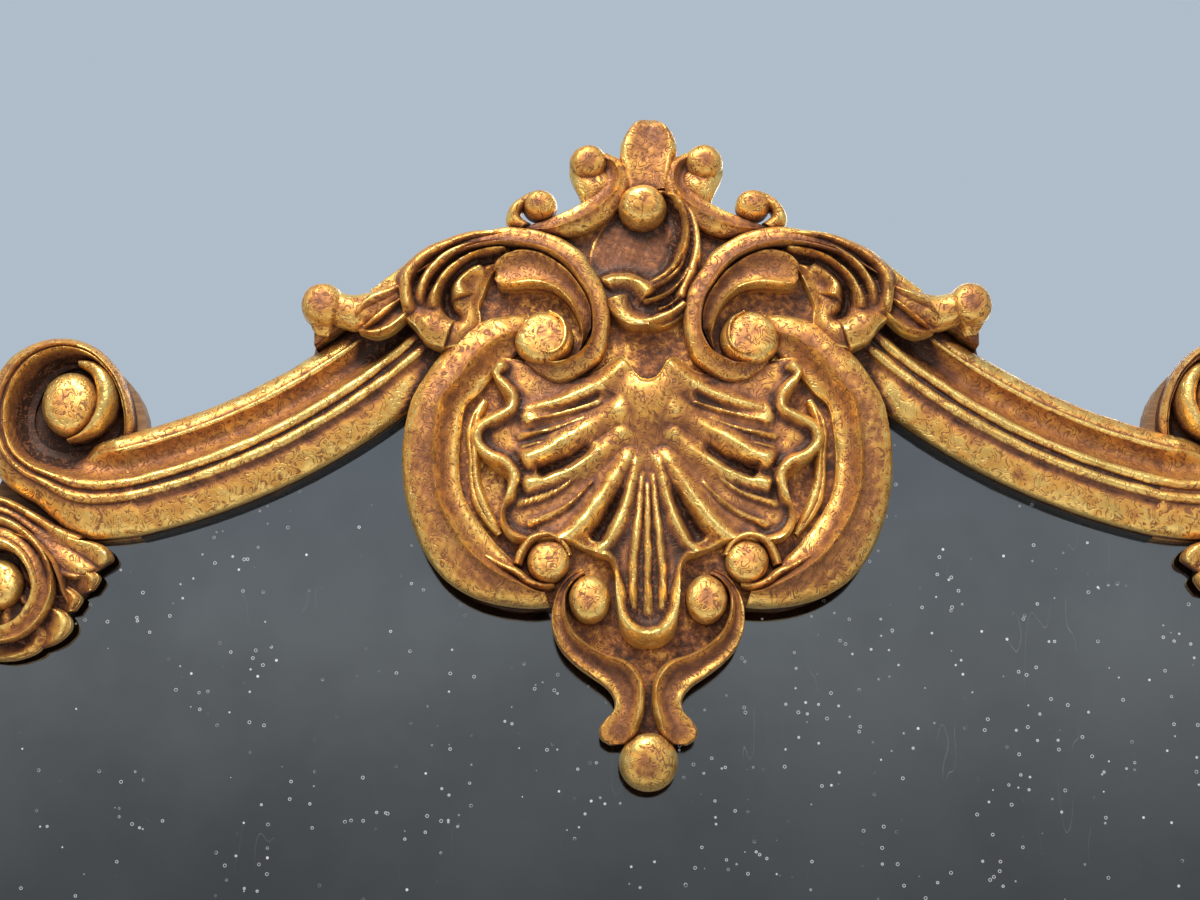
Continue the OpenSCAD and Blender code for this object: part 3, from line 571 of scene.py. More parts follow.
@dataclass
class Carving:
    """A carved piece under way, as closed skins that lie in or on each other.

    hand is how much of the hand's unevenness it shows, and kept is how well its coves have
    kept their leaf.
    """

    name: str
    material: bpy.types.Material
    nodes: tuple[str, ...]
    shells: list[Shell]
    side: Side = Side.LEFT
    hand: float = 1.0
    kept: float = 0.2
    back_step: float = 0.02
    uneven: tuple[tuple[float, float], ...] = ((0.5, 60), (0.32, 19), (0.14, 7))
    sunk: float = 0.3
    sharp: float = 48.0

    def skin(self, number: int) -> Shell:
        """Joins the skins, mirrors them on the right and makes them uneven as hand work is.

        Args:
            number: How many skins other pieces have before these. Each back is set in by its
                own small depth, so that no two lie in one plane where they overlap.

        Returns:
            All the skins as one.
        """
        start = np.cumsum([0] + [len(shell.points) for shell in self.shells])
        backs = []
        for k, shell in enumerate(self.shells, number):
            y = shell.points[:, 1]
            set_in = np.where(y > y.max() - 0.01, self.back_step * k, 0)
            backs.append(shell.points + set_in[:, None] * [0, 1, 0])
        whole = Shell(np.concatenate(backs),
                      np.concatenate([shell.quads + k for shell, k in zip(self.shells, start)]),
                      np.concatenate([shell.triangles + k for shell, k in zip(self.shells, start)]))
        if self.side is Side.RIGHT:
            whole = replace(whole.flipped(), points=whole.points * [-1, 1, 1])
        normal = whole.normals()
        seed = 11 if self.side is Side.LEFT else 23
        lift = sum(depth * wander(whole.points, size, seed + k)
                   for k, (depth, size) in enumerate(self.uneven)) - self.sunk
        lift = self.hand * ease(-normal[:, 1], -0.2, 0.4) * lift
        return replace(whole, points=whole.points + normal * lift[:, None])

    def finish(self, skin: Shell, relief: ReliefMap) -> bpy.types.Object:
        """Makes the piece's mesh, with its rubbed places and painted highlights, and its dirty places
        and painted shade.

        Args:
            skin: What skin() gave.
            relief: The map of the whole front.

        Returns:
            The piece.
        """
        normal = skin.normals()
        sides = [skin.quads[:, [k, (k + 1) % 4]] for k in range(4)]
        edges = np.unique(np.sort(np.concatenate(sides), axis=1), axis=0)
        joined = np.bincount(edges.ravel(), minlength=len(normal))
        over = skin.points - softened(skin.points, edges, joined)
        crisp = np.einsum("ij,ij->i", over, normal) * (joined > 0)
        near, far = relief.stand(skin.points)
        wear = WearAndLight()
        behind = ease(normal[:, 1], 0, 0.5)
        mesh = bpy.data.meshes.new(self.name)
        mesh.from_pydata(skin.points * MM, [], [*skin.quads.tolist(), *skin.triangles.tolist()])
        # One attribute brightens ridges, as rubbed leaf and a painted highlight, and darkens grooves
        # as painted shade; the other darkens deep recesses, as dirt and painted shade.
        for label, values in (("rub_and_painted_light", wear.rub_and_painted_light(crisp, near)), ("hollow", wear.hollow(far, self.kept))):
            values = values + (wear.behind - values) * behind
            attribute = mesh.attributes.new(label, "FLOAT", "POINT")
            attribute.data.foreach_set("value", values.astype(np.float32))
        mesh.shade_smooth()
        mesh.set_sharp_from_angle(angle=math.radians(self.sharp))
        mesh.materials.append(self.material)
        return place_piece(self.name, mesh, self.nodes)


def place_piece(name: str, mesh: bpy.types.Mesh, nodes: Sequence[str]) -> bpy.types.Object:
    """Links a mesh as a piece of the frame in place of some solids.

    Args:
        name: The piece's name.
        mesh: Its mesh, in metres and in the frame's own place.
        nodes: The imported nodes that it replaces.

    Returns:
        The piece.
    """
    piece = bpy.data.objects.new(name, mesh)
    bpy.context.scene.collection.objects.link(piece)
    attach(piece, "root")
    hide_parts(*nodes)
    LOG.info("%s: %d faces", name, len(mesh.polygons))
    return piece


# ------------------------------------------------------------------ nodes


class Value:
    """A number that changes over a surface, as the output of a node, with arithmetic."""

    def __init__(self, paint: Paint, socket: bpy.types.NodeSocket) -> None:
        """Wraps a socket of a paint's node tree."""
        self.paint = paint
        self.socket = socket

    def __add__(self, other: Value | float) -> Value:
        """The sum of two values."""
        return self.paint.maths("ADD", self, other)

    def __radd__(self, other: float) -> Value:
        """The sum of a number and a value."""
        return self.paint.maths("ADD", other, self)

    def __sub__(self, other: Value | float) -> Value:
        """The difference of two values."""
        return self.paint.maths("SUBTRACT", self, other)

    def __rsub__(self, other: float) -> Value:
        """A number less a value."""
        return self.paint.maths("SUBTRACT", other, self)

    def __mul__(self, other: Value | float) -> Value:
        """The product of two values."""
        return self.paint.maths("MULTIPLY", self, other)

    def __rmul__(self, other: float) -> Value:
        """The product of a number and a value."""
        return self.paint.maths("MULTIPLY", other, self)

    def __abs__(self) -> Value:
        """The value without its sign."""
        return self.paint.maths("ABSOLUTE", self)

    def step(self, low: float, high: float) -> Value:
        """A soft step of the value from 0 at low to 1 at high."""
        sockets = {"Value": self, "From Min": low, "From Max": high}
        return self.paint.value("ShaderNodeMapRange", sockets, interpolation_type="SMOOTHSTEP")


def set_stops(ramp: bpy.types.ColorRamp, stops: Sequence[tuple[float, Colour]]) -> None:
    """Sets the stops of a colour ramp.

    Args:
        ramp: A new ramp.
        stops: Places and colours.
    """
    ramp.elements.remove(ramp.elements[1])
    for k, (position, colour) in enumerate(stops):
        stop = ramp.elements.new(position) if k else ramp.elements[0]
        stop.position = position
        stop.color = (*colour, 1)


class Tree:
    """A tree of nodes under way."""

    def __init__(self, tree: bpy.types.NodeTree) -> None:
        """Takes a tree and empties it."""
        self.tree = tree
        self.tree.nodes.clear()

    def node(
        self, kind: str, sockets: dict[str | int, object] | None = None, **settings: object,
    ) -> bpy.types.Node:
        """Makes one node.

        Args:
            kind: The node's type.
            sockets: Numbers, colours, values or links for its inputs.
            settings: Its settings, set before the inputs.

        Returns:
            The node.
        """
        made = self.tree.nodes.new(kind)
        for name, value in settings.items():
            setattr(made, name, value)
        for key, value in (sockets or {}).items():
            source = value.socket if isinstance(value, Value) else value
            if isinstance(source, bpy.types.NodeSocket):
                self.tree.links.new(source, made.inputs[key])
            elif made.inputs[key].type == "RGBA":
                made.inputs[key].default_value = (*source, 1)
            else:
                made.inputs[key].default_value = source
        return made


class Paint(Tree):
    """The nodes of one material, built from expressions on its Object coordinates."""

    def __init__(self, name: str) -> None:
        """Starts an empty material.

        Args:
            name: The material's name.
        """
        self.material = bpy.data.materials.new(name)
        self.material.use_nodes = True
        super().__init__(self.material.node_tree)
        self.place = self.node("ShaderNodeTexCoord").outputs["Object"]

    def value(self, kind: str, sockets: dict[str | int, object], **settings: object) -> Value:
        """The first output of a new node, as a value."""
        return Value(self, self.node(kind, sockets, **settings).outputs[0])

    def maths(self, operation: str, *operands: Value | float) -> Value:
        """Joins values and numbers with a Math node."""
        return self.value("ShaderNodeMath", dict(enumerate(operands)), operation=operation)

    def stretched(self, factors: tuple[float, float, float]) -> bpy.types.NodeSocket:
        """The Object coordinates with each axis multiplied by its factor."""
        sockets = {0: self.place, 1: factors}
        return self.node("ShaderNodeVectorMath", sockets, operation="MULTIPLY").outputs[0]

    def noise(
        self, size: float, detail: float = 2.0, rough: float = 0.5, warp: float = 0.0,
        place: bpy.types.NodeSocket | None = None,
    ) -> Value:
        """Makes smooth noise.

        Args:
            size: The size of its features, in millimetres.
            detail: How many finer layers it has.
            rough: How strong these are.
            warp: How far it is distorted.
            place: Coordinates to use in place of the Object coordinates.

        Returns:
            A value about 0.5.
        """
        sockets = {"Vector": place or self.place, "Scale": 1 / (size * MM), "Detail": detail,
                   "Roughness": rough, "Distortion": warp}
        return self.value("ShaderNodeTexNoise", sockets)

    def specks(self, size: float, radius: float, share: float, hole: float = 0.0) -> Value:
        """Makes small round specks.

        Args:
            size: Distance between their places, in millimetres.
            radius: Their radius as a share of that distance.
            share: How many of the places hold one, from 0 to 1.
            hole: The radius of the dull middle of each, as such a share.

        Returns:
            A value of 1 in a speck and 0 outside.
        """
        cell = self.node("ShaderNodeTexVoronoi", {"Vector": self.place, "Scale": 1 / (size * MM)})
        kept = self.value("ShaderNodeSeparateColor", {0: cell.outputs["Color"]})
        away = Value(self, cell.outputs["Distance"])
        ring = away.step(hole * 0.7, hole * 1.2) if hole else 1.0
        return kept.step(share + 0.01, share - 0.01) * away.step(radius, radius * 0.7) * ring

    def attribute(self, name: str) -> Value:
        """A point attribute of the piece."""
        return Value(self, self.node("ShaderNodeAttribute", attribute_name=name).outputs["Fac"])

    def ramp(self, value: Value, *stops: tuple[float, Colour]) -> bpy.types.NodeSocket:
        """Colours a value.

        Args:
            value: The value.
            stops: Places and colours.

        Returns:
            The colour between the stops.
        """
        made = self.node("ShaderNodeValToRGB", {0: value})
        set_stops(made.color_ramp, stops)
        return made.outputs[0]

    def mix(
        self, factor: Value | float, a: bpy.types.NodeSocket | Colour,
        b: bpy.types.NodeSocket | Colour,
    ) -> bpy.types.NodeSocket:
        """Mixes two colours, from a at 0 to b at 1."""
        return self.node("ShaderNodeMix", {0: factor, 6: a, 7: b}, data_type="RGBA").outputs[2]

    def bump(self, height: Value, depth: float, strength: float) -> bpy.types.NodeSocket:
        """The surface's normal over bumps of some depth in millimetres."""
        sockets = {"Height": height, "Distance": depth * MM, "Strength": strength}
        return self.node("ShaderNodeBump", sockets).outputs[0]

    def finish(
        self, colour: bpy.types.NodeSocket, roughness: Value | float, metallic: Value | float,
        normal: bpy.types.NodeSocket | None = None,
    ) -> bpy.types.Material:
        """Ends the material in one surface.

        Args:
            colour: Its base colour.
            roughness: Its roughness.
            metallic: How metallic it is.
            normal: Its bumped normal.

        Returns:
            The material.
        """
        sockets = {"Base Color": colour, "Roughness": roughness, "Metallic": metallic}
        if normal:
            sockets["Normal"] = normal
        return self.end(self.node("ShaderNodeBsdfPrincipled", sockets))

    def end(self, surface: bpy.types.Node) -> bpy.types.Material:
        """Puts out the surface that a node makes, and gives the material."""
        self.node("ShaderNodeOutputMaterial", {"Surface": surface.outputs[0]})
        return self.material


class Recipe(Tree):
    """A Geometry Nodes tree that turns points and edges into a finished mesh."""

    def __init__(self, name: str, inputs: dict[str, str]) -> None:
        """Starts a tree.

        Args:
            name: The tree's name.
            inputs: The names of its numbers and places, each with its kind of socket.
        """
        super().__init__(bpy.data.node_groups.new(name, "GeometryNodeTree"))
        face = self.tree.interface
        for label, kind in {"Geometry": "Geometry", **inputs, "Finish": "Material"}.items():
            face.new_socket(label, in_out="INPUT", socket_type=f"NodeSocket{kind}")
        face.new_socket("Geometry", in_out="OUTPUT", socket_type="NodeSocketGeometry")
        self.given = self.node("NodeGroupInput").outputs

    def maths(self, operation: str, *operands: object) -> bpy.types.NodeSocket:
        """Joins numbers with a Math node."""
        return self.node("ShaderNodeMath", dict(enumerate(operands)), operation=operation).outputs[0]

    def end(self, made: bpy.types.NodeSocket) -> Recipe:
        """Ends the tree with the finish on what was made.

        Args:
            made: The geometry.

        Returns:
            The recipe.
        """
        real = self.node("GeometryNodeRealizeInstances", {"Geometry": made})
        dressed = self.node("GeometryNodeSetMaterial", {"Geometry": real.outputs[0],
                                                        "Material": self.given["Finish"]})
        self.node("NodeGroupOutput", {0: dressed.outputs[0]})
        return self

    def run(
        self, points: Rows, edges: Sequence[tuple[int, int]], values: dict[str, object],
    ) -> bpy.types.Mesh:
        """Runs the tree.

        Args:
            points: The points that it starts from.
            edges: The edges between them.
            values: A value for each input but the geometry.

        Returns:
            The mesh that it makes.
        """
        start = bpy.data.meshes.new(self.tree.name)
        start.from_pydata(points, edges, [])
        holder = bpy.data.objects.new(self.tree.name, start)
        bpy.context.scene.collection.objects.link(holder)
        modifier = holder.modifiers.new(self.tree.name, "NODES")
        modifier.node_group = self.tree
        for item in self.tree.interface.items_tree:
            if item.in_out == "INPUT" and item.name in values:
                modifier[item.identifier] = values[item.name]
        seen = holder.evaluated_get(bpy.context.evaluated_depsgraph_get())
        mesh = bpy.data.meshes.new_from_object(seen)
        holder.modifiers.remove(modifier)
        bpy.data.objects.remove(holder)
        return mesh


# ------------------------------------------------------------------ finishes


@dataclass(frozen=True)
class GoldLeaf:
    """Gold leaf laid on red-brown bole, rubbed bright on the ridges and dull in the hollows, with
    painted highlights on the ridges and painted shade in the hollows.
    """

    name: str
    # The brightest tone is burnished leaf with a painted highlight; the darkest is dirt with painted
    # shade.
    ridge: Colour = (1.0, 0.68, 0.21)
    leaf: Colour = (0.76, 0.39, 0.088)
    wear_and_painted_light: Colour = (0.42, 0.170, 0.048)
    bole: Colour = (0.175, 0.060, 0.022)
    dirt_and_shade_tone: Colour = (0.042, 0.017, 0.009)
    pale: Colour = (0.46, 0.34, 0.095)
    chip: Colour = (0.80, 0.76, 0.66)
    level: float = 0.0
    carved: bool = True

    def build(self) -> bpy.types.Material:
        """Builds the material.

        Returns:
            The material.
        """
        paint = Paint(self.name)
        cloud = paint.noise(34, 3, 0.55)
        grain = paint.noise(6.5, 4, 0.65)
        fine = paint.noise(1.5, 2, 0.6)
        # Point attributes from the relief, which hold painted highlights and painted shade as well as
        # rubbed leaf and dirt; the flat ground takes noise in their place.
        rub_and_painted_light = paint.attribute("rub_and_painted_light") if self.carved else grain
        hollow = paint.attribute("hollow") if self.carved else cloud
        # A scale from dirt and painted shade at 0 to rubbed leaf and painted highlights at 1, with
        # random tone on top.
        wear_and_painted_light = 0.54 + 1.2 * (rub_and_painted_light - 0.5) + 1.05 * (hollow - 0.5) + 0.42 * (cloud - 0.5)
        wear_and_painted_light = wear_and_painted_light + 0.30 * (grain - 0.5) + 0.16 * (fine - 0.5) + self.level
        levels = paint.noise(10.5, 1.2, 0.5, 1.2) * 6
        lines = 1 - abs(paint.maths("FRACT", levels) - 0.5).step(0.09, 0.21)
        worm = lines * paint.noise(5.5, 1).step(0.36, 0.50)
        # The colour along that scale: painted shade at the dark end, painted highlight at the bright
        # end.
        colour = paint.ramp(wear_and_painted_light, (0.08, self.dirt_and_shade_tone), (0.28, self.bole), (0.50, self.wear_and_painted_light),
                            (0.70, self.leaf), (0.94, self.ridge))
        dull = paint.noise(48, 2, 0.5).step(0.56, 0.68) * wear_and_painted_light.step(0.35, 0.6)
        colour = paint.mix(0.36 * dull, colour, self.pale)
        colour = paint.mix(worm * (0.85 - 0.4 * wear_and_painted_light.step(0.7, 1.0)), colour, self.bole)
        chips = paint.specks(16, 0.085, 0.16) * wear_and_painted_light.step(0.55, 0.75)
        colour = paint.mix(chips, colour, self.chip)
        metallic = (0.36 + 0.52 * wear_and_painted_light.step(0.3, 0.9)) * (1 - 0.5 * worm) * (1 - chips)
        roughness = 0.54 - 0.22 * wear_and_painted_light.step(0.4, 1.0) + 0.22 * (grain - 0.5) + 0.12 * worm
        height = grain * 0.55 + fine * 0.22 - 0.42 * worm + 0.35 * cloud
        return paint.finish(colour, roughness, metallic, paint.bump(height, 0.9, 0.75))


@dataclass(frozen=True)
class OldWood:
    """Old dry softwood with its grain along one axis, darkened by dust and handling."""

    name: str
    along: tuple[float, float, float]
    light: Colour = (0.30, 0.165, 0.075)
    dark: Colour = (0.115, 0.055, 0.024)
    dust: Colour = (0.16, 0.12, 0.085)

    def build(self) -> bpy.types.Material:
        """Builds the material.

        Returns:
            The material.
        """
        paint = Paint(self.name)
        fibre = paint.stretched(self.along)
        grain = paint.noise(2.2, 4, 0.6, 0.2, fibre)
        rings = paint.noise(16, 2, 0.5, 0.6, fibre)
        bands = abs(paint.maths("FRACT", rings * 9) - 0.5).step(0.05, 0.5)
        stain = paint.noise(120, 4, 0.6)
        colour = paint.mix(0.25 + 0.4 * bands + 0.5 * (grain - 0.5), self.light, self.dark)
        colour = paint.mix(0.75 * stain.step(0.42, 0.68), colour, self.dust)
        pores = grain.step(0.36, 0.5)
        colour = paint.mix(0.45 - 0.45 * pores, colour, self.dark)
        roughness = 0.78 + 0.2 * (grain - 0.5)
        return paint.finish(colour, roughness, 0.0, paint.bump(grain + 0.5 * bands, 0.5, 0.6))


@dataclass(frozen=True)
class OldPaint:
    """Dark paint on wood, polished on its face and worn brown along its edges."""

    name: str
    coat: Colour = (0.017, 0.013, 0.010)
    under: Colour = (0.10, 0.048, 0.020)

    def build(self) -> bpy.types.Material:
        """Builds the material.

        Returns:
            The material.
        """
        paint = Paint(self.name)
        wear = paint.noise(14, 5, 0.65).step(0.53, 0.7)
        grain = paint.noise(2.5, 3, 0.6)
        colour = paint.mix(0.7 * wear, self.coat, self.under)
        roughness = 0.30 + 0.30 * wear + 0.2 * (grain - 0.5)
        return paint.finish(colour, roughness, 0.0, paint.bump(grain, 0.25, 0.6))


@dataclass(frozen=True)
class AgedSilver:
    """Old silvered glass: grey and a little cloudy, with foxing specks and fine scratches."""

    name: str
    silver: Colour = (0.222, 0.239, 0.254)
    cloudy: Colour = (0.175, 0.189, 0.202)
    speck: Colour = (0.62, 0.64, 0.66)
    spot: Colour = (0.030, 0.028, 0.026)

    def build(self) -> bpy.types.Material:
        """Builds the material.

        Returns:
            The material.
        """
        paint = Paint(self.name)
        veil = paint.noise(210, 4, 0.6).step(0.35, 0.7)
        cluster = paint.noise(52, 2, 0.55).step(0.47, 0.57)
        white = paint.specks(8, 0.21, 0.55, 0.11) * cluster
        lone = paint.specks(17, 0.075, 0.6)
        dark = paint.specks(9, 0.13, 0.3) * paint.noise(90, 2, 0.5, 0.4).step(0.60, 0.70)
        hair = paint.noise(26, 2, 0.4, 0, paint.stretched((1.0, 1.0, 0.16)))
        scratch = (1 - abs(hair - 0.5).step(0.0005, 0.0022)) * paint.noise(60, 1).step(0.60, 0.68)
        colour = paint.mix(veil, self.silver, self.cloudy)
        colour = paint.mix(dark * 0.9, colour, self.spot)
        marks = (0.7 * white + lone + 0.3 * scratch).step(0.05, 0.9)
        colour = paint.mix(marks * 0.9, colour, self.speck)
        roughness = 0.05 + 0.05 * veil + 0.4 * marks + 0.3 * dark
        metallic = 1 - 0.7 * marks - 0.6 * dark
        return paint.finish(colour, roughness, metallic)


@dataclass(frozen=True)
class OldMetal:
    """Metal of the fittings, tarnished in patches and rubbed on its faces."""

    name: str
    metal: Colour
    tarnish: Colour
    shine: float = 0.34

    def build(self) -> bpy.types.Material:
        """Builds the material.

        Returns:
            The material.
        """
        paint = Paint(self.name)
        patch = paint.noise(9, 4, 0.65).step(0.40, 0.66)
        brushed = paint.noise(1.2, 3, 0.6, 0, paint.stretched((0.15, 1.0, 1.0)))
        colour = paint.mix(patch, self.metal, self.tarnish)
        roughness = self.shine + 0.28 * patch + 0.2 * (brushed - 0.5)
        metallic = 1 - 0.45 * patch
        return paint.finish(colour, roughness, metallic, paint.bump(brushed + patch, 0.12, 0.6))


# ------------------------------------------------------------------ relief drawn by strokes


@dataclass(frozen=True)
class Stroke:
    """A ridge or, with a negative height, a groove along a line of x and z.

    width and height are given at its two ends. crisp is how square its shoulders are, and fade
    is over what shares of its length it comes and goes.
    """

    line: tuple[tuple[float, float], ...]
    width: tuple[float, float]
    height: tuple[float, float]
    crisp: float = 2.0
    fade: tuple[float, float] = (0.12, 0.12)

    def mirrored(self) -> Stroke:
        """The same stroke on the other side."""
        return replace(self, line=tuple((-x, z) for x, z in self.line))

    def lift(self, x: np.ndarray, z: np.ndarray) -> np.ndarray:
        """Works out its height at some places.

        Args:
            x: The places' x.
            z: Their z.

        Returns:
            Millimetres for each place.
        """
        p = smooth(self.line, 5)
        a, way = p[:-1], p[1:] - p[:-1]
        length = np.maximum((way ** 2).sum(axis=1), 1e-9)
        dx, dz = x[:, None] - a[:, 0], z[:, None] - a[:, 1]
        f = np.clip((dx * way[:, 0] + dz * way[:, 1]) / length, 0, 1)
        gap = np.hypot(dx - f * way[:, 0], dz - f * way[:, 1])
        k = gap.argmin(axis=1)
        row = np.arange(len(x))
        t = (k + f[row, k]) / len(a)
        width = self.width[0] + (self.width[1] - self.width[0]) * t
        height = self.height[0] + (self.height[1] - self.height[0]) * t
        ends = ease(t, -0.01, self.fade[0]) * (1 - ease(t, 1 - self.fade[1], 1.01))
        return height * ends * np.exp(-((gap[row, k] / width) ** self.crisp))


# ------------------------------------------------------------------ sections of the carving

ROUND = Section(((0, 0), (0, 0.35, 1), (0.12, 0.74), (0.3, 0.95), (0.5, 1.0), (0.7, 0.95),
                 (0.88, 0.74), (1, 0.35, 1), (1, 0)), 3)
CREST = Section(((0, 0), (0, 0.3, 1), (0.25, 0.58), (0.42, 0.86), (0.5, 1.0, 1), (0.58, 0.86),
                 (0.75, 0.58), (1, 0.3, 1), (1, 0)), 3)
HOLLOW = Section(((0, 0), (0, 0.66, 1), (0.06, 0.9), (0.13, 1.0), (0.2, 0.9), (0.34, 0.66),
                  (0.56, 0.56), (0.76, 0.68), (0.88, 0.94), (0.94, 0.9), (1, 0.6, 1), (1, 0)), 4)
BLADE = Section(((0, 0), (0, 0.6, 1), (0.05, 0.86), (0.12, 0.92), (0.3, 0.8), (0.5, 0.84),
                 (0.7, 0.96), (0.84, 1.0), (0.95, 0.88), (1, 0.6, 1), (1, 0)), 6)
PETAL = Section(((0, 0), (0, 0.6, 1), (0.05, 0.88), (0.12, 1.0), (0.2, 0.94), (0.35, 0.84),
                 (0.55, 0.82), (0.75, 0.88), (0.88, 0.95), (0.95, 0.88), (1, 0.6, 1), (1, 0)), 4)
BALL = Section(((0, 0), (0, 0.25, 1), (0.04, 0.5), (0.15, 0.73), (0.35, 0.9), (0.65, 0.98), (1, 1)), 3)
PILLOW = Section(((0, 0), (0, 0.3, 1), (0.03, 0.56), (0.1, 0.74), (0.22, 0.87), (0.42, 0.95),
                  (0.7, 0.99), (1, 1)), 3)
LOW = Section(((0, 0), (0, 0.8, 1), (0.08, 1.0), (0.5, 1.0), (1, 1)), 2)


# ------------------------------------------------------------------ mouldings


def arc(
    centre: tuple[float, float], radius: tuple[float, float], start: float, end: float, steps: int,
) -> np.ndarray:
    """Draws part of an ellipse.

    Args:
        centre: Its middle.
        radius: Its half width and half height.
        start: The angle of its first point, in degrees.
        end: The angle of its last point.
        steps: Steps between them.

    Returns:
        One row for each point.
    """
    a = np.radians(np.linspace(start, end, steps + 1))
    return np.stack([centre[0] + radius[0] * np.cos(a), centre[1] + radius[1] * np.sin(a)], axis=1)


@dataclass
class Mouldings:
    """The run moulding: two swoops, two uprights and the bottom length.

    From its outer edge it has a roll with a rib, a cove, a rim, a bead and a face that falls to
    the lip over the glass. hand and kept are those of its carvings.
    """

    leaf: bpy.types.Material
    width: float = 82.0
    back: float = 24.0
    edge: float = 7.0
    roll: tuple[float, float] = (13.0, 24.0)
    rib: float = 2.2
    cove: tuple[float, float] = (21.0, 9.5)
    cove_span: tuple[float, float] = (0.08, 0.93)
    rim: float = 4.0
    groove: float = 2.4
    bead: float = 4.2
    shoulder: float = 27.8
    sight: float = 18.0
    lip: float = 12.0
    rebate: float = 19.0
    half: float = 600.0
    swoop_centre: tuple[float, float] = (-507.2, 1632.2)
    swoop_radius: float = 444.0
    swoop_span: tuple[float, float] = (12.9, 44.5)
    swoop_steps: int = 90
    upright: float = 985.4
    mitre_gap: float = 0.3
    step: float = 3.0
    hand: float = 0.8
    kept: float = 1.0

    def profile(self) -> np.ndarray:
        """Draws the cut across.

        Returns:
            Rows of distance from the outer edge and height over the back.
        """
        roll, top = self.roll
        first_cove = roll + 2 * self.rib
        rim = first_cove + self.cove[0] + self.rim
        bead = rim + self.rim + self.groove + self.bead
        face = bead + self.bead
        rebate = self.width - self.rebate
        t = np.linspace(*self.cove_span, 14)
        cove = np.stack([first_cove + self.cove[0] * t,
                         top + (self.shoulder - top) * t - 4 * self.cove[1] * t * (1 - t)], axis=1)
        return np.concatenate([
            [[0, 0], [0, self.edge / 2]],
            arc((roll, self.edge), (roll, top - self.edge), 180, 90, 12),
            arc((roll + self.rib, top), (self.rib, self.rib), 165, 0, 8),
            cove,
            arc((rim, self.shoulder), (self.rim, self.rim), 180, 0, 10),
            arc((bead, self.shoulder), (self.bead, self.bead), 180, 20, 10),
            arc((face, self.sight), (self.width - face, self.shoulder - self.sight), 84, 0, 12),
            [[self.width, self.lip], [rebate, self.lip], [rebate, 0]],
        ])

    def sweep_recipe(self) -> Recipe:
        """Makes the tree that sweeps a closed outline round an arc in front of the wall.

        Returns:
            The tree.
        """
        tree = Recipe("moulding_sweep", {"Radius": "Float", "Start": "Float", "Sweep": "Float",
                                         "Steps": "Int", "Centre": "Vector"})
        given = tree.given
        outline = tree.node("GeometryNodeMeshToCurve", {0: given["Geometry"]})
        path = tree.node("GeometryNodeCurveArc", {
            "Resolution": given["Steps"], "Radius": given["Radius"],
            "Start Angle": given["Start"], "Sweep Angle": given["Sweep"]})
        sweep = tree.node("GeometryNodeCurveToMesh", {
            "Curve": path.outputs[0], "Profile Curve": outline.outputs[0], "Fill Caps": True})
        place = tree.node("GeometryNodeTransform", {
            "Geometry": sweep.outputs[0], "Rotation": (math.pi / 2, 0, 0),
            "Translation": given["Centre"]})
        return tree.end(place.outputs[0])

    def swept_swoop(self) -> Shell:
        """Sweeps the left-hand swoop with Geometry Nodes.

        Returns:
            Its closed skin.
        """
        cut = self.profile()
        places = np.stack([cut[:, 0], -self.back - cut[:, 1], np.zeros(len(cut))], axis=1)
        ring = [(k, (k + 1) % len(cut)) for k in range(len(cut))]
        start, end = self.swoop_span
        x, z = self.swoop_centre
        straight_down = 270
        mesh = self.sweep_recipe().run(places, ring, {
            "Radius": self.swoop_radius, "Start": math.radians(straight_down + start),
            "Sweep": math.radians(end - start), "Steps": self.swoop_steps, "Centre": (x, 0.0, z),
            "Finish": self.leaf})
        mesh.calc_loop_triangles()
        points = np.array([v.co[:] for v in mesh.vertices])
        quads = np.array([f.vertices[:] for f in mesh.polygons if len(f.vertices) == 4])
        caps = np.array([t.vertices[:] for t in mesh.loop_triangles
                         if len(mesh.polygons[t.polygon_index].vertices) != 4])
        bpy.data.meshes.remove(mesh)
        return Shell(points, quads, caps).outwards()

    def bar(self, start: np.ndarray, end: np.ndarray) -> Shell:
        """Carves a straight length.

        Args:
            start: The points round one cut end.
            end: The points round the other.

        Returns:
            Its closed skin.
        """
        steps = int(np.abs(end - start).max() / self.step)
        t = np.linspace(0, 1, steps + 1)[:, None, None]
        rows = start + (end - start) * t
        count = start.shape[0]
        faces = grid_faces(steps + 1, count)
        i = np.arange(steps) * count
        seam = np.stack([i + count - 1, i, i + count, i + 2 * count - 1], axis=-1)
        loop = bpy.data.meshes.new("cut_end")
        loop.from_pydata(start, [], [list(range(count))])
        loop.calc_loop_triangles()
        cap = np.array([t.vertices[:] for t in loop.loop_triangles])
        bpy.data.meshes.remove(loop)
        caps = np.concatenate([cap[:, ::-1], cap + steps * count])
        return Shell(rows.reshape(-1, 3), np.concatenate([faces, seam]), caps).outwards()

    def build(self) -> list[Carving]:
        """Carves every length.

        Returns:
            The lengths.
        """
        u, h = self.profile().T
        y = -self.back - h
        mitre = u * (1 - self.mitre_gap / self.width) + self.mitre_gap / 2
        upright = self.bar(np.stack([u - self.half, y, mitre], axis=1),
                           np.stack([u - self.half, y, np.full_like(u, self.upright)], axis=1))
        base = self.bar(np.stack([u - self.half, y, u], axis=1),
                        np.stack([self.half - u, y, u], axis=1))
        swoop = self.swept_swoop()
        lengths = [("bottom_run", "base_moulding", base, Side.LEFT)]
        for side in Side:
            s = side.value
            lengths += [(f"swoop_run_{s}", f"swoop_moulding_{s}", swoop, side),
                        (f"upright_run_{s}", f"stile_moulding_{s}", upright, side)]
        return [Carving(name, self.leaf, (node,), [shell], side, self.hand, self.kept)
                for name, node, shell, side in lengths]


# ------------------------------------------------------------------ corners


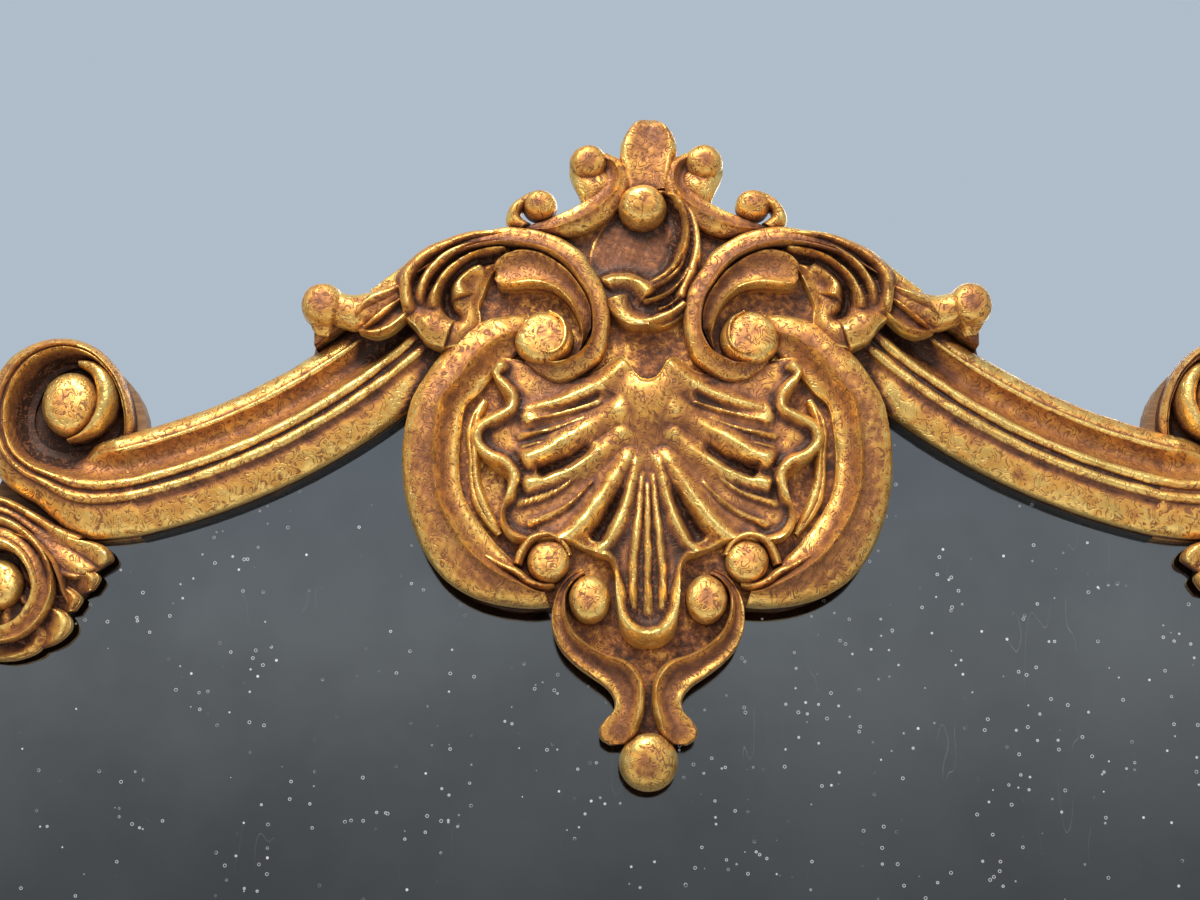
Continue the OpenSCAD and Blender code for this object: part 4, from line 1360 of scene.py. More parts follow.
@dataclass
class Corners:
    """The volutes at the shoulders, and the leaves at the shoulders and the feet.

    volute_joint ties a volute into its swoop: degrees along the swoop and a factor on its height.
    foot_share is the height of a foot's leaf as a share of a shoulder's.
    """

    leaf: bpy.types.Material
    mouldings: Mouldings
    height: float = 1204.4
    ground: float = 34.0
    foot_drop: float = 50.0
    foot_ground: float = 60.2
    foot_share: float = 0.7
    volute_joint: tuple[tuple[float, float], ...] = ((2.0, 0.87), (0.0, 1.03))
    volute_knobs: tuple[Knob, ...] = (Knob(154, 18, 40, 44, 3, LOW),
                                      Knob(154, 18, 23, 26.5, 33, PILLOW, 4))
    leaf_knobs: tuple[Knob, ...] = (Knob(107, -124, 27, 27, 5, LOW),
                                    Knob(107, -124, 19, 19.5, 24, PILLOW, 2.5))

    def place(self, rows: Rows, foot: bool = False) -> np.ndarray:
        """Sets stations in the left-hand corner.

        Args:
            rows: The stations, drawn from the outer edge and the swoop.
            foot: Whether they are turned over into the lower corner.

        Returns:
            The stations in the frame.
        """
        s = np.array(rows, float)
        s[:, [0, 2]] -= self.mouldings.half
        s[:, [1, 3]] += self.height
        if foot:
            s[:, [1, 3]] = self.height - self.foot_drop - s[:, [1, 3]]
        return s

    def knob(self, knob: Knob, base: float, foot: bool = False) -> Shell:
        """Carves a boss in the corner.

        Args:
            knob: The boss, drawn as the stations are.
            base: How far its back lies in front of the wall.
            foot: Whether it is lowered and turned over into the lower corner.

        Returns:
            Its closed skin.
        """
        place = self.place([[knob.x, knob.z, 0, 0, 0]], foot)[0, :2]
        if foot:
            return replace(knob, tilt=-knob.tilt).carve(place, base, self.foot_share)
        return knob.carve(place, base)

    def volute(self) -> list[Shell]:
        """Carves the scroll that ends a swoop.

        Returns:
            Its band, its floor, its eye and the crescent beside the eye.
        """
        run = self.mouldings
        centre = np.array(run.swoop_centre)
        joint = []
        for turn, factor in self.volute_joint:
            way = math.radians(run.swoop_span[0] + turn)
            lead = np.array([math.sin(way), -math.cos(way)])
            joint.append([*(centre + (run.swoop_radius + run.width) * lead),
                          *(centre + run.swoop_radius * lead), factor])
        rows = self.place([
            [183, -88, 185, -6, 1], [169, -87, 175, -9, 1], [152, -80, 166, -14, 1],
            [134, -65, 153, -18, 1], [113, -51, 138, -15, 1], [97, -33, 128, -7, 1],
            [89, -4, 124, 5, 1], [90, 26, 126, 20, 1], [102, 51, 134, 36, 1],
            [122, 66, 144, 45, 0.98], [148, 70.5, 155, 49, 0.94], [172, 63, 168, 46, 0.88],
            [189, 46, 180, 37, 0.8], [198, 28, 187, 25, 0.7], [202, 13, 190, 13, 0.62],
            [203, 1, 190, 4, 0.52], [202, -10, 189, -5, 0.42], [199, -21, 187, -14, 0.32]])
        start = Section(((0, 0), (0, 18, 1), (0.06, 23.7), (0.18, 26.9), (0.303, 27.8, 1),
                         (0.315, 30.6), (0.354, 32), (0.393, 30.6), (0.405, 27.8, 1),
                         (0.434, 27.8, 1), (0.446, 30.5), (0.483, 31.8), (0.52, 30.5),
                         (0.532, 27.8, 1), (0.596, 19.7), (0.66, 16.4), (0.724, 17.8),
                         (0.788, 24, 1), (0.815, 26.2), (0.842, 24, 1), (0.93, 21), (1, 7, 1), (1, 0)))
        scroll = Section(((0, 0), (0, 15, 1), (0.05, 24), (0.18, 31), (0.31, 34, 1),
                          (0.325, 37), (0.37, 38.5), (0.415, 36.5), (0.43, 33, 1),
                          (0.46, 33, 1), (0.475, 35.8), (0.52, 37), (0.565, 34.4),
                          (0.59, 30, 1), (0.645, 22), (0.70, 17), (0.76, 13.6),
                          (0.82, 11, 1), (0.86, 9.5), (0.90, 9, 1), (0.95, 8.5), (1, 8, 1), (1, 0)))
        band = strip(np.vstack([joint, rows]), scroll, run.back, 12, (start, 0.06, 0.26))
        knobs = [self.knob(knob, run.back) for knob in self.volute_knobs]
        crescent = self.place(along([[160, 50, 3, 26], [171, 46, 6, 30], [179, 37, 8.5, 33],
                                     [182.5, 25, 9.5, 35], [181, 12, 9, 35], [174.5, 0, 7, 33],
                                     [164, -8, 4, 29], [153, -11, 2, 22]]))
        return [band, *knobs, strip(crescent, ROUND, run.back)]

    def acanthus(self, foot: bool) -> list[Shell]:
        """Carves the leaf that curls down beside the volute, or up from a foot.

        Args:
            foot: Whether it is a foot's.

        Returns:
            Its layers, its floor and its eye.
        """
        base = self.foot_ground if foot else self.ground
        share = self.foot_share if foot else 1.0

        def lay(rows: Rows, section: Section, detail: Detail | None = None) -> Shell:
            """Carves one layer of the leaf, its heights lowered on a foot."""
            stations = self.place(rows, foot) * [1, 1, 1, 1, share]
            return strip(stations, section, base, detail=detail)

        under = lay([
            [0, -218.7, 78, -218.7, 16], [0, -184, 76, -194, 18], [0, -159, 73, -169, 19],
            [2, -134, 70, -142, 20], [9, -111, 70, -120, 20], [23, -89, 75, -103, 21],
            [41, -72, 84, -92, 21], [63, -59, 95, -87, 21], [86, -54, 105, -87, 20],
            [104, -55, 113, -91, 20], [119, -61, 121, -98, 19], [134, -69, 127, -108, 18],
            [153, -79.5, 130, -116, 17], [170, -86, 131, -122, 15]], BLADE,
            Flutes(4.5, 3.2, 0.05, 0.95))
        blades: list[tuple[Rows, Section, Detail | None]] = [
            ([[150, -82, 128, -84, 14], [163, -88, 132, -96, 16], [176, -90, 138, -108, 17],
              [187, -95, 148, -117, 16], [191, -103, 163, -120, 14], [186, -108, 175, -116, 9]],
             BLADE, Flutes(2.5, 2.2, 0.1, 0.95)),
            ([[140, -100, 120, -104, 12], [160, -106, 122, -116, 13], [176, -112, 130, -127, 13],
              [182, -118, 145, -134, 12], [177, -127, 160, -134, 8]], HOLLOW, None),
            ([[138, -118, 118, -120, 11], [158, -124, 118, -132, 12], [169, -133, 128, -143, 12],
              [164, -143, 142, -148, 9]], HOLLOW, None),
            ([[136, -136, 112, -134, 11], [157, -144, 108, -149, 12], [162, -156, 112, -162, 12],
              [152, -167, 124, -169, 11], [136, -173, 132, -169, 6]], HOLLOW, None),
            ([[128, -146, 104, -143, 10], [143, -159, 96, -153, 11], [139, -173, 94, -164, 12],
              [122, -180.5, 90, -169, 12], [103, -181, 86, -168, 9], [88, -175, 80, -165, 5]],
             HOLLOW, None)]
        scroll = lay([
            [30, -104, 48, -112, 12], [44, -88, 66, -108, 18], [63, -76, 82, -102, 22],
            [86, -70, 100, -97, 26], [108, -72, 114, -99, 28], [128, -83, 124, -106, 29],
            [143, -99, 130, -116, 29], [150, -117, 133, -127, 28], [150, -134, 131, -137, 27],
            [142, -151, 125, -147, 25], [127, -165, 115, -154, 23], [107, -169, 102, -157, 20],
            [90, -166, 89, -157, 15], [80, -158, 84, -151, 9]], BLADE,
            Flutes(3.0, 2.6, 0.0, 0.62, 0.2))
        tip = lay([[112, -80, 104, -88, 22], [132, -84, 124, -96, 26], [148, -96, 138, -106, 27],
                   [157, -112, 147, -118, 26], [160, -128, 152, -130, 22], [162, -138, 158, -139, 14]],
                  CREST)
        knobs = [self.knob(knob, base, foot) for knob in self.leaf_knobs]
        return [under, *(lay(*blade) for blade in blades), scroll, tip, *knobs]

    def build(self) -> list[Carving]:
        """Carves both shoulders and both feet.

        Returns:
            The carvings.
        """
        made = []
        run = self.mouldings
        for side in Side:
            s = side.value
            made += [
                Carving(f"shoulder_volute_{s}", self.leaf, (f"corner_volute_{s}", "corner_eyes"),
                        self.volute(), side, run.hand, run.kept),
                Carving(f"shoulder_leaf_{s}", self.leaf, (f"corner_leaf_{s}",),
                        self.acanthus(False), side),
                Carving(f"foot_scroll_{s}", self.leaf, (f"foot_leaf_{s}", "foot_eyes"),
                        self.acanthus(True), side)]
        return made


# ------------------------------------------------------------------ crest


@dataclass
class Crest:
    """The carving over the middle, drawn from the hub of its shell.

    least is the lowest that a free shape gets, and rim_drop how much of its height its rim loses.
    kept, kept_ring and kept_plume are how well the coves have kept their leaf.
    """

    leaf: bpy.types.Material
    hub: float = 1210.0
    ground: float = 58.0
    least: float = 1.5
    rim_drop: float = 0.35
    kept: float = 0.2
    kept_ring: float = 1.0
    kept_plume: float = -1.0
    ring_button: Knob = Knob(-75, -115, 16.5, 17.5, 22, PILLOW, 3.5)
    scroll_eye: Knob = Knob(-79, 58, 23, 22.5, 22, PILLOW, 4)
    bud_knob: Knob = Knob(-250, 86, 17, 17.5, 20, BALL, 1)
    spray_head: Knob = Knob(-45, 200, 15, 14.5, 20, BALL, -1.5)
    spray_coil: Knob = Knob(-83, 166, 13.5, 12.5, 18.5, BALL, -1)
    pendant_ball: Knob = Knob(-44, -144, 16, 19, 24, PILLOW, 3.5)
    plume_ball: Knob = Knob(-3, 163, 19.5, 17.5, 25, BALL, -2)
    drop_ball: Knob = Knob(0, -265.5, 22, 21.5, 22, BALL, -1.5)

    def cut(self, rows: Rows, section: Section, detail: Detail | None = None) -> Shell:
        """Carves a strip over the ground."""
        stations = np.array(rows, float) + [0, self.hub, 0, self.hub, 0]
        return strip(stations, section, self.ground, detail=detail)

    def knob(self, knob: Knob) -> Shell:
        """Carves a boss over the ground."""
        return knob.carve((knob.x, knob.z + self.hub), self.ground)

    def field(
        self, centre: tuple[float, float], rim: Rows, body: Body, strokes: Sequence[Stroke],
        turns: int = 480, rings: int = 64,
    ) -> Shell:
        """Carves a free shape over the ground, from its rim, its body and strokes.

        Args:
            centre: The place that the rim is seen from.
            rim: Angles in degrees from straight down, and the rim's distance there.
            body: Height in millimetres from x, z and the share of the way to the rim.
            strokes: Ridges and grooves. Where ridges meet, the highest stands.
            turns: Steps round the shape.
            rings: Steps from the centre to the rim.

        Returns:
            The closed skin.
        """
        table = smooth(rim, 6)
        angle = np.linspace(table[0, 0], table[0, 0] + 360, turns, endpoint=False)
        reach = np.interp(angle, table[:, 0], table[:, 1])
        share = np.linspace(0, 1, rings + 1)[1:]
        a = np.radians(angle)[:, None]
        x = (centre[0] - reach[:, None] * share * np.sin(a)).ravel()
        z = (centre[1] - reach[:, None] * share * np.cos(a)).ravel()
        out = np.tile(share, turns)
        lifts = np.array([stroke.lift(x, z) for stroke in strokes])
        height = body(x, z, out) + lifts.max(axis=0, initial=0) + lifts.min(axis=0, initial=0)
        height = np.maximum(height, self.least) * (1 - self.rim_drop * ease(out, 0.985, 1.0))
        grid = np.stack([x, -self.ground - height, z + self.hub], axis=1).reshape(turns, rings, 3)
        foot = grid[:, -1:] * [1, 0, 1] - [0, self.ground, 0]
        middle = body(np.array([centre[0]]), np.array([centre[1]]), np.zeros(1))[0]
        top = (centre[0], -self.ground - middle, centre[1] + self.hub)
        return domed(np.concatenate([grid, foot], axis=1)[:, ::-1], top, self.ground)

    def ring(self) -> list[Shell]:
        """Carves one of the two C-scrolls round the shell.

        Returns:
            Its band, the hook and the lip at its foot, and its button.
        """
        section = Section(((0, 0), (0, 6, 1), (0.04, 11), (0.14, 15), (0.3, 18), (0.44, 19.8),
                           (0.52, 21.6), (0.575, 25.4, 1), (0.63, 21.2), (0.72, 15.4), (0.83, 11.4),
                           (0.93, 9.8), (1, 7, 1), (1, 0)))
        rows = [
            [-92, 80, -78, 58, 0.3], [-118, 76, -94, 50, 0.7], [-140, 66, -106, 42, 0.82],
            [-156, 50, -117, 30, 0.9], [-170, 30, -128, 16, 0.96], [-180, 12, -138, 6, 1],
            [-185, -9, -141, -6, 1], [-187, -31, -143, -26, 1], [-186, -54, -143, -46, 1],
            [-182, -75, -140, -63, 1], [-175, -95, -133, -77, 1], [-165, -114, -124, -90, 1],
            [-152, -129, -115, -101, 1], [-135, -140, -106, -110, 1], [-118, -146, -99, -117, 1],
            [-101, -149, -93, -124, 0.95], [-86, -150, -86, -131, 0.85], [-74, -149, -79, -134, 0.7]]
        hook = along([[-98, -118, 4, 17], [-95, -109, 4.5, 19], [-89, -100, 4.5, 21],
                      [-80, -96, 4, 21], [-71, -97, 3.5, 20], [-63, -103, 3, 18],
                      [-59, -111, 2.5, 15]])
        lip = along([[-122, -112, 3.5, 17], [-110, -119, 4, 19], [-99, -124, 4.5, 20],
                     [-90, -131, 4.5, 19], [-80, -134, 4, 17], [-70, -133, 3, 13]])
        return [self.cut(rows, section), self.cut(hook, ROUND), self.cut(lip, ROUND),
                self.knob(self.ring_button)]

    def inner_edge(self) -> list[Shell]:
        """Carves the rough strip in the gap between a ring and the shell.

        Returns:
            Its skin.
        """
        rows = along([[-124, 10, 3, 9], [-130, -2, 5, 12], [-133, -18, 5.5, 13],
                      [-132, -36, 4.5, 14], [-131, -52, 5, 12], [-127, -68, 6, 12],
                      [-120, -82, 5, 11], [-112, -94, 3, 8]])
        return [self.cut(rows, ROUND, Flutes(1.6, 2.4, 0.05, 0.95))]

    def scroll(self) -> list[Shell]:
        """Carves a leafy scroll.

        Returns:
            Its band, its inner lobe, its eye and the curl round the eye.
        """
        band = Section(((0, 0), (0, 10, 1), (0.04, 14.5), (0.14, 18), (0.34, 19.8), (0.55, 20.6),
                        (0.72, 21.6), (0.82, 24.4), (0.88, 28.6, 1), (0.94, 25), (1, 15, 1), (1, 0)))
        sweep = self.cut([
            [-214, 98.5, -207, 92, 0.35], [-196, 111, -187, 101, 0.55],
            [-179, 124, -169, 111, 0.72], [-160, 134, -152, 120, 0.85], [-143, 140, -137, 125, 0.93],
            [-126, 144, -122, 128, 1], [-109, 147, -108, 129, 1.03], [-93, 146, -96, 127.5, 1.04],
            [-76, 142, -82, 124, 1.04], [-62, 135, -70, 118, 1.04], [-50, 126, -60, 109, 1.04],
            [-42, 113, -53, 100, 1.03], [-33, 99, -46.5, 90, 1.02], [-29, 83, -43, 79, 1],
            [-28, 70, -42, 68, 1], [-30, 56, -43, 59, 0.98], [-34, 43, -47, 51, 0.96],
            [-41, 35, -52, 45, 0.94], [-52, 27, -59, 41, 0.92], [-62, 23, -66.5, 38, 0.88],
            [-72, 23, -74, 38, 0.82], [-84, 29, -81, 41, 0.74], [-94, 38, -87, 46, 0.62]],
            band, Flutes(3, 0.5, 0.05, 0.5, 0.1))
        lobe = Section(((0, 0), (0, 14, 1), (0.03, 20), (0.09, 22.6), (0.16, 21.4), (0.28, 18.6),
                        (0.45, 17), (0.62, 17.2), (0.78, 19.4), (0.88, 21.8), (0.95, 20.4),
                        (1, 13, 1), (1, 0)))
        inner = self.cut([
            [-117.5, 112, -116.5, 104, 0.80], [-115.5, 119, -113.5, 98, 0.95],
            [-106, 126, -103, 96.5, 1.0], [-93, 127.5, -90, 97.5, 1.03],
            [-81, 124, -78, 96.5, 1.03], [-69, 117, -68, 92, 1.02], [-59, 108.5, -60.5, 85, 1],
            [-52, 99.5, -55.5, 77, 0.98], [-46, 90, -52, 68, 0.93], [-42.5, 79, -50, 58, 0.82],
            [-42, 67, -52, 48, 0.6]], lobe)
        curl = self.cut(along([[-75, 79, 2, 15], [-66, 72, 2.8, 20], [-62.5, 61, 3.2, 23.5],
                               [-65, 50, 3, 25], [-73, 44, 2.6, 25], [-82, 46, 2, 23.5],
                               [-86, 53, 1.5, 21.5]]), ROUND)
        return [sweep, inner, self.knob(self.scroll_eye), curl]

    def scroll_leaf(self) -> list[Shell]:
        """Carves the fluted leaf that folds over the band of a scroll.

        Returns:
            Its skin.
        """
        rim = [(0, 48.5), (17, 44), (34, 38), (55, 36.6), (69, 34.5), (88, 34), (103, 39), (113, 38),
               (140, 34.5), (175, 37), (198, 45), (218, 58.4), (229, 65), (237, 63), (245, 50),
               (253, 40), (270, 33), (293, 31), (309, 38), (320, 44), (336, 47), (360, 48.5)]
        strokes = [
            Stroke(((-106, 141), (-135, 138), (-155, 131), (-172, 121), (-183, 107), (-186, 92),
                    (-184, 76)), (6, 5.5), (10, 12), 2.4, (0.05, 0.1)),
            Stroke(((-106, 135), (-132, 131), (-150, 124), (-164, 112), (-172, 98), (-175, 82)),
                   (3.6, 4.4), (10, 12), 2.2, (0.05, 0.2)),
            Stroke(((-106, 129), (-128, 125), (-144, 116), (-156, 104), (-163, 90), (-166, 76)),
                   (3.6, 4.4), (9, 12), 2.2, (0.05, 0.2)),
            Stroke(((-176, 80), (-171, 70), (-162, 62), (-152, 58)), (14, 13), (9, 8), 3.2,
                   (0.4, 0.02)),
            Stroke(((-126, 116), (-138, 110), (-145, 100), (-142, 89)), (6, 7), (7, 10), 2.4,
                   (0.1, 0.05)),
            Stroke(((-106, 138), (-134, 134.5), (-153, 127), (-168, 116), (-178, 102), (-180, 86)),
                   (2, 2.6), (-2, -7), 2, (0.1, 0.35)),
            Stroke(((-106, 132), (-130, 128), (-147, 120), (-160, 108), (-168, 94), (-171, 80)),
                   (2, 2.6), (-2, -7), 2, (0.1, 0.35)),
            Stroke(((-112, 122), (-132, 117), (-147, 106), (-154, 93), (-151, 78), (-138, 72)),
                   (3, 4.5), (-7, -12), 2.2, (0.1, 0.2)),
        ]

        def body(x: np.ndarray, z: np.ndarray, share: np.ndarray) -> np.ndarray:
            """The blade, which sinks towards its right-hand edge."""
            return 15.5 - 4 * ease(share, 0.75, 1) - 3 * ease(x, -150, -126) * ease(-z, -112, -90)

        return [self.field((-157.0, 97.0), rim, body, strokes, 440, 56)]

    def side_leaf(self) -> list[Shell]:
        """Carves the bud and its knob that end a scroll on the swoop.

        Returns:
            The knob, its neck, the stem, the bud and its veins.
        """
        neck = self.cut([[-263, 84, -238, 86, 12], [-261, 76, -240, 76, 11], [-259, 69, -243, 68, 8],
                         [-255, 63, -246, 62, 3]], ROUND)
        stem = self.cut([[-250, 102, -250, 74, 15], [-238, 97, -236, 69, 16],
                         [-226, 94, -225, 66, 16], [-212, 97, -212, 68, 15],
                         [-198, 105, -200, 76, 14], [-184, 112, -188, 84, 12]], ROUND)
        bud = self.cut([[-188, 104, -178, 82, 13], [-198, 99, -186, 72, 17],
                        [-208, 95, -196, 63, 19], [-218, 89, -206, 59, 19.5],
                        [-224, 80, -214, 60, 18], [-226, 72, -221, 63, 12]], HOLLOW)
        veins = [self.cut(along(line), ROUND) for line in (
            [[-217, 66, 2, 17], [-209, 72, 3, 20], [-200, 80, 2.6, 19], [-190, 88, 2, 16]],
            [[-220, 78, 2, 16], [-214, 86, 2.4, 18], [-204, 93, 2.2, 17]])]
        return [self.knob(self.bud_knob), neck, stem, bud, *veins]

    def tendril(self) -> list[Shell]:
        """Carves one of the two sprays between the palmette and a scroll.

        Returns:
            The stem, its back leaf, the coil and their two balls.
        """
        section = Section(((0, 0), (0, 0.45, 1), (0.05, 0.7), (0.2, 0.9), (0.36, 1.0), (0.44, 1.12, 1),
                           (0.52, 0.92), (0.7, 0.7), (0.86, 0.62), (0.95, 0.56), (1, 0.4, 1), (1, 0)))
        stem = self.cut([
            [-30, 209, -42, 199, 12], [-18, 201, -34, 194, 15], [-12, 187, -32, 186, 17],
            [-14, 174, -36, 178, 18], [-22, 161, -45, 171, 18], [-33, 151, -55, 165, 18],
            [-47, 143, -66, 160, 17], [-62, 139, -78, 155, 15], [-78, 141, -90, 151, 12],
            [-92, 144, -99, 149, 9]], section)
        back = self.cut([[-57, 206, -42, 208, 9], [-60, 196, -34, 198, 11], [-58, 186, -26, 190, 12],
                         [-53, 176, -27, 182, 12], [-50, 167, -34, 174, 9]], ROUND)
        coil = self.cut([[-100, 145, -90, 152, 12], [-109, 152, -97, 157, 14],
                         [-108, 162, -97, 161, 15], [-101, 171, -93, 165, 14],
                         [-91, 178, -88, 170, 11]], ROUND)
        return [stem, back, coil, self.knob(self.spray_head), self.knob(self.spray_coil)]

    def palmette(self) -> list[Shell]:
        """Carves the hollow petal at the very top.

        Returns:
            The petal and its root.
        """
        petal = self.cut([
            [17, 178, -15, 178, 14], [20, 188, -18, 189, 15], [22, 199, -20, 200, 16],
            [24, 210, -20, 212, 17], [22, 221, -16, 223, 17], [16, 230, -10, 232, 15],
            [8, 235, -3, 236, 9]], PETAL)
        root = self.cut([[30, 196, 16, 190, 8], [26, 206, 14, 199, 12], [18, 206, 8, 196, 11],
                         [12, 200, 4, 188, 8]], ROUND)
        return [petal, root]

    def plume(self) -> list[Shell]:
        """Carves the comma-shaped plume between the scrolls.

        Returns:
            Its skin.
        """
        rim = [(0, 40), (20, 42), (40, 40), (60, 38), (80, 40), (100, 44), (120, 50), (145, 56),
               (165, 66), (180, 74), (195, 78), (210, 70), (225, 58), (245, 47), (265, 42),
               (280, 41), (300, 41), (320, 42), (340, 42), (360, 40)]
        ridge = ((4, 176), (15, 174), (25, 166), (30, 153), (31, 140), (28, 126), (20, 114),
                 (8, 105), (-4, 100))
        strokes = [
            Stroke(ridge, (4.2, 4), (13, 12), 1.7, (0.1, 0.2)),
            Stroke(((24, 172), (33, 160), (38, 145), (39, 130), (35, 112), (28, 96), (24, 84)),
                   (5, 5), (7, 9), 2.2),
            Stroke(((30, 128), (27, 116), (18, 106), (6, 98), (-6, 95)), (2.4, 2.2), (8, 10), 1.7),
            Stroke(((33, 116), (28, 104), (18, 94), (6, 88), (-4, 86)), (2.4, 2.2), (8, 10), 1.7),
            Stroke(((33, 103), (27, 92), (18, 83), (8, 79)), (2.4, 2.2), (8, 9), 1.7),
            Stroke(((31, 86), (20, 78), (6, 71), (-3, 69)), (4, 4), (9, 12), 2.4, (0.1, 0.02)),
            Stroke(((-34, 100), (-26, 106), (-14, 106), (-4, 98), (4, 90)), (6, 8), (8, 13), 2.2),
            Stroke(((-24, 92), (-20, 78), (-12, 70), (2, 66)), (8, 8), (9, 11), 2.4, (0.1, 0.02)),
            Stroke(((22, 163), (23, 150), (22, 138), (16, 127), (6, 118)), (4.5, 4), (-5, -4)),
        ]

        def body(x: np.ndarray, z: np.ndarray, share: np.ndarray) -> np.ndarray:
            """A low rough ground above, and the leaf's body below and to the right."""
            over = ease(-z, -112, -100) + 0.9 * ease(x, 12, 26)
            return 1.5 + 9.5 * np.clip(over, 0, 1)

        return [self.field((0.0, 106.0), rim, body, strokes, 360, 48)]

    def shell(self) -> list[Shell]:
        """Carves the fan of ribs with its frilled rim and its tongue.

        Returns:
            Its skin.
        """
        half = [
            (0, 181), (3, 180), (6.5, 172), (9, 152), (11, 130), (14, 119), (19, 118), (24, 117),
            (30, 118), (36, 124), (41, 135), (46, 143), (51, 142), (55, 136), (59, 125),
            (64, 119), (69, 124), (74, 131), (80, 137), (85, 137), (89, 124), (93, 110),
            (97, 111), (102, 119), (107, 126), (111, 122), (114, 96), (118, 66), (128, 52),
            (140, 49), (148, 50), (154, 48.5), (158, 42), (162, 31), (168, 26), (174, 24.5),
            (180, 24)]
        rim = half + [(360 - t, r) for t, r in reversed(half[1:-1])] + [(360, half[0][1])]
        frill = Stroke(((-108, 39), (-116, 29), (-109, 20), (-103, 12), (-104, 2), (-113, -4),
                        (-127, -12), (-130, -24), (-121, -34), (-108, -40), (-101, -50),
                        (-104, -63), (-112, -73), (-112, -87), (-103, -97), (-86, -102)),
                       (4.6, 5.2), (11, 12), 2.6, (0.03, 0.03))
        left = [
            frill,
            Stroke(((-12, 46), (-22, 33), (-40, 18), (-60, 9), (-84, 0), (-98, -3)), (9, 6.5), (9, 9)),
            Stroke(((-34, 8), (-62, 0), (-96, -8)), (2.6, 2.6), (4, 7)),
            Stroke(((-14, 2), (-38, -9), (-62, -22), (-80, -33), (-98, -40)), (9, 7.5), (4, 13)),
            Stroke(((-12, -12), (-34, -30), (-58, -45), (-80, -54), (-97, -58)), (8, 7), (4, 11)),
            Stroke(((-9, -26), (-24, -50), (-40, -74), (-54, -92), (-70, -101), (-86, -103)),
                   (7, 8.5), (6, 13)),
            Stroke(((-7, -30), (-13, -58), (-22, -86), (-33, -104), (-42, -113)), (5, 6), (5, 11)),
            Stroke(((-4, -42), (-7, -80), (-11, -120), (-11, -156)), (2.8, 3), (3, 7), 2.4),
            Stroke(((-36, -104), (-29, -121), (-24, -137), (-21, -152), (-16, -164), (-8, -170),
                    (0, -171.5)), (5.5, 6), (10, 14), 2.6, (0.1, 0.0)),
            Stroke(((-44, -3), (-70, -13), (-100, -20)), (1.8, 2.2), (3, 5)),
            Stroke(((-44, -10), (-70, -21), (-98, -29)), (1.8, 2.2), (3, 5)),
            Stroke(((-46, -44), (-70, -62), (-100, -72)), (1.8, 2.4), (3, 5)),
            Stroke(((-40, -52), (-62, -74), (-92, -88)), (1.8, 2.4), (3, 5)),
            Stroke(((-40, -25), (-60, -38), (-84, -48)), (3, 5), (-5, -11), 2, (0.3, 0.1)),
            Stroke(((-17, -56), (-28, -78), (-40, -100)), (2.6, 5.5), (-4, -13), 2, (0.3, 0.1)),
            Stroke(((-34, 14), (-64, 3), (-98, -2)), (3, 4), (-3, -5)),
            Stroke(((0, -52), (0, -105), (0, -158)), (2.2, 2.8), (3, 6), 2.4),
        ]

        def body(x: np.ndarray, z: np.ndarray, share: np.ndarray) -> np.ndarray:
            """Works out the hub's rise over the scooped fan.

            Args:
                x: The places' x.
                z: Their z.
                share: How far out they are.

            Returns:
                Millimetres for each place.
            """
            rise = 10.5 + 17 * np.exp(-(((x / 30) ** 2 + ((z - 12) / 27) ** 2) ** 1.25))
            tongue = ease(-z, 70, 110) * np.exp(-((x / 34) ** 4))
            return rise + 2 * tongue - 2.5 * ease(share, 0.8, 1) * (1 - tongue)

        right = [stroke.mirrored() for stroke in left]
        return [self.field((0.0, 0.0), rim, body, left + right)]

    def pendant(self) -> list[Shell]:
        """Carves one of the two S-scrolls that hang from the shell.

        Returns:
            The scroll and its ball.
        """
        band = Section(((0, 0), (0, 0.46, 1), (0.04, 0.66), (0.12, 0.68), (0.35, 0.58), (0.6, 0.66),
                        (0.78, 0.94), (0.85, 1.12, 1), (0.92, 1.0), (0.98, 0.74), (1, 0.5, 1),
                        (1, 0)), 5)
        rows = [
            [-50, -121, -47, -125, 13], [-60, -127, -55, -131, 16], [-68, -138, -61, -141, 18],
            [-72, -152, -61, -153, 19], [-72, -166, -58, -163, 19], [-66, -181, -52, -172, 19],
            [-55, -193, -42, -180, 19], [-43, -202, -30, -186, 19], [-33, -209, -17, -190, 18],
            [-27, -216, -9, -196, 17], [-25, -223, -3.5, -206, 16.5], [-27, -229, -2.5, -218, 16],
            [-32, -234, -3.5, -229, 16.5], [-36.5, -241, -6, -238, 17],
            [-35.5, -248, -9.5, -246.5, 16.5], [-29, -252.5, -17, -252, 13]]
        return [self.cut(rows, band), self.knob(self.pendant_ball)]

    def build(self) -> list[Carving]:
        """Carves the whole crest.

        Returns:
            The carvings.
        """
        made = []
        for side in Side:
            s = side.value
            for name, shells, nodes, kept in (
                ("ring", self.ring() + self.inner_edge(), (f"ring_scroll_{s}", "ring_buttons"),
                 self.kept_ring),
                ("scroll", self.scroll() + self.scroll_leaf(), (f"leaf_scroll_{s}", "crest_eyes"),
                 self.kept),
                ("side_leaf", self.side_leaf(), (f"side_leaf_{s}",), self.kept),
                ("spray", self.tendril(), (f"tendril_{s}",), self.kept),
                ("pendant", self.pendant(), (f"pendant_scroll_{s}", "pendant_balls"), self.kept),
            ):
                made.append(Carving(f"crest_{name}_{s}", self.leaf, nodes, shells, side, kept=kept))
        for name, shells, node, kept in (
            ("fan", self.shell(), "crest_shell", self.kept),
            ("petal", self.palmette(), "palmette", self.kept),
            ("comma", self.plume(), "plume", self.kept_plume),
            ("comma_ball", [self.knob(self.plume_ball)], "plume_ball", self.kept),
            ("drop_ball", [self.knob(self.drop_ball)], "pendant_balls", self.kept),
        ):
            made.append(Carving(f"crest_{name}", self.leaf, (node,), shells, kept=kept))
        return made


# ------------------------------------------------------------------ fittings and dressing


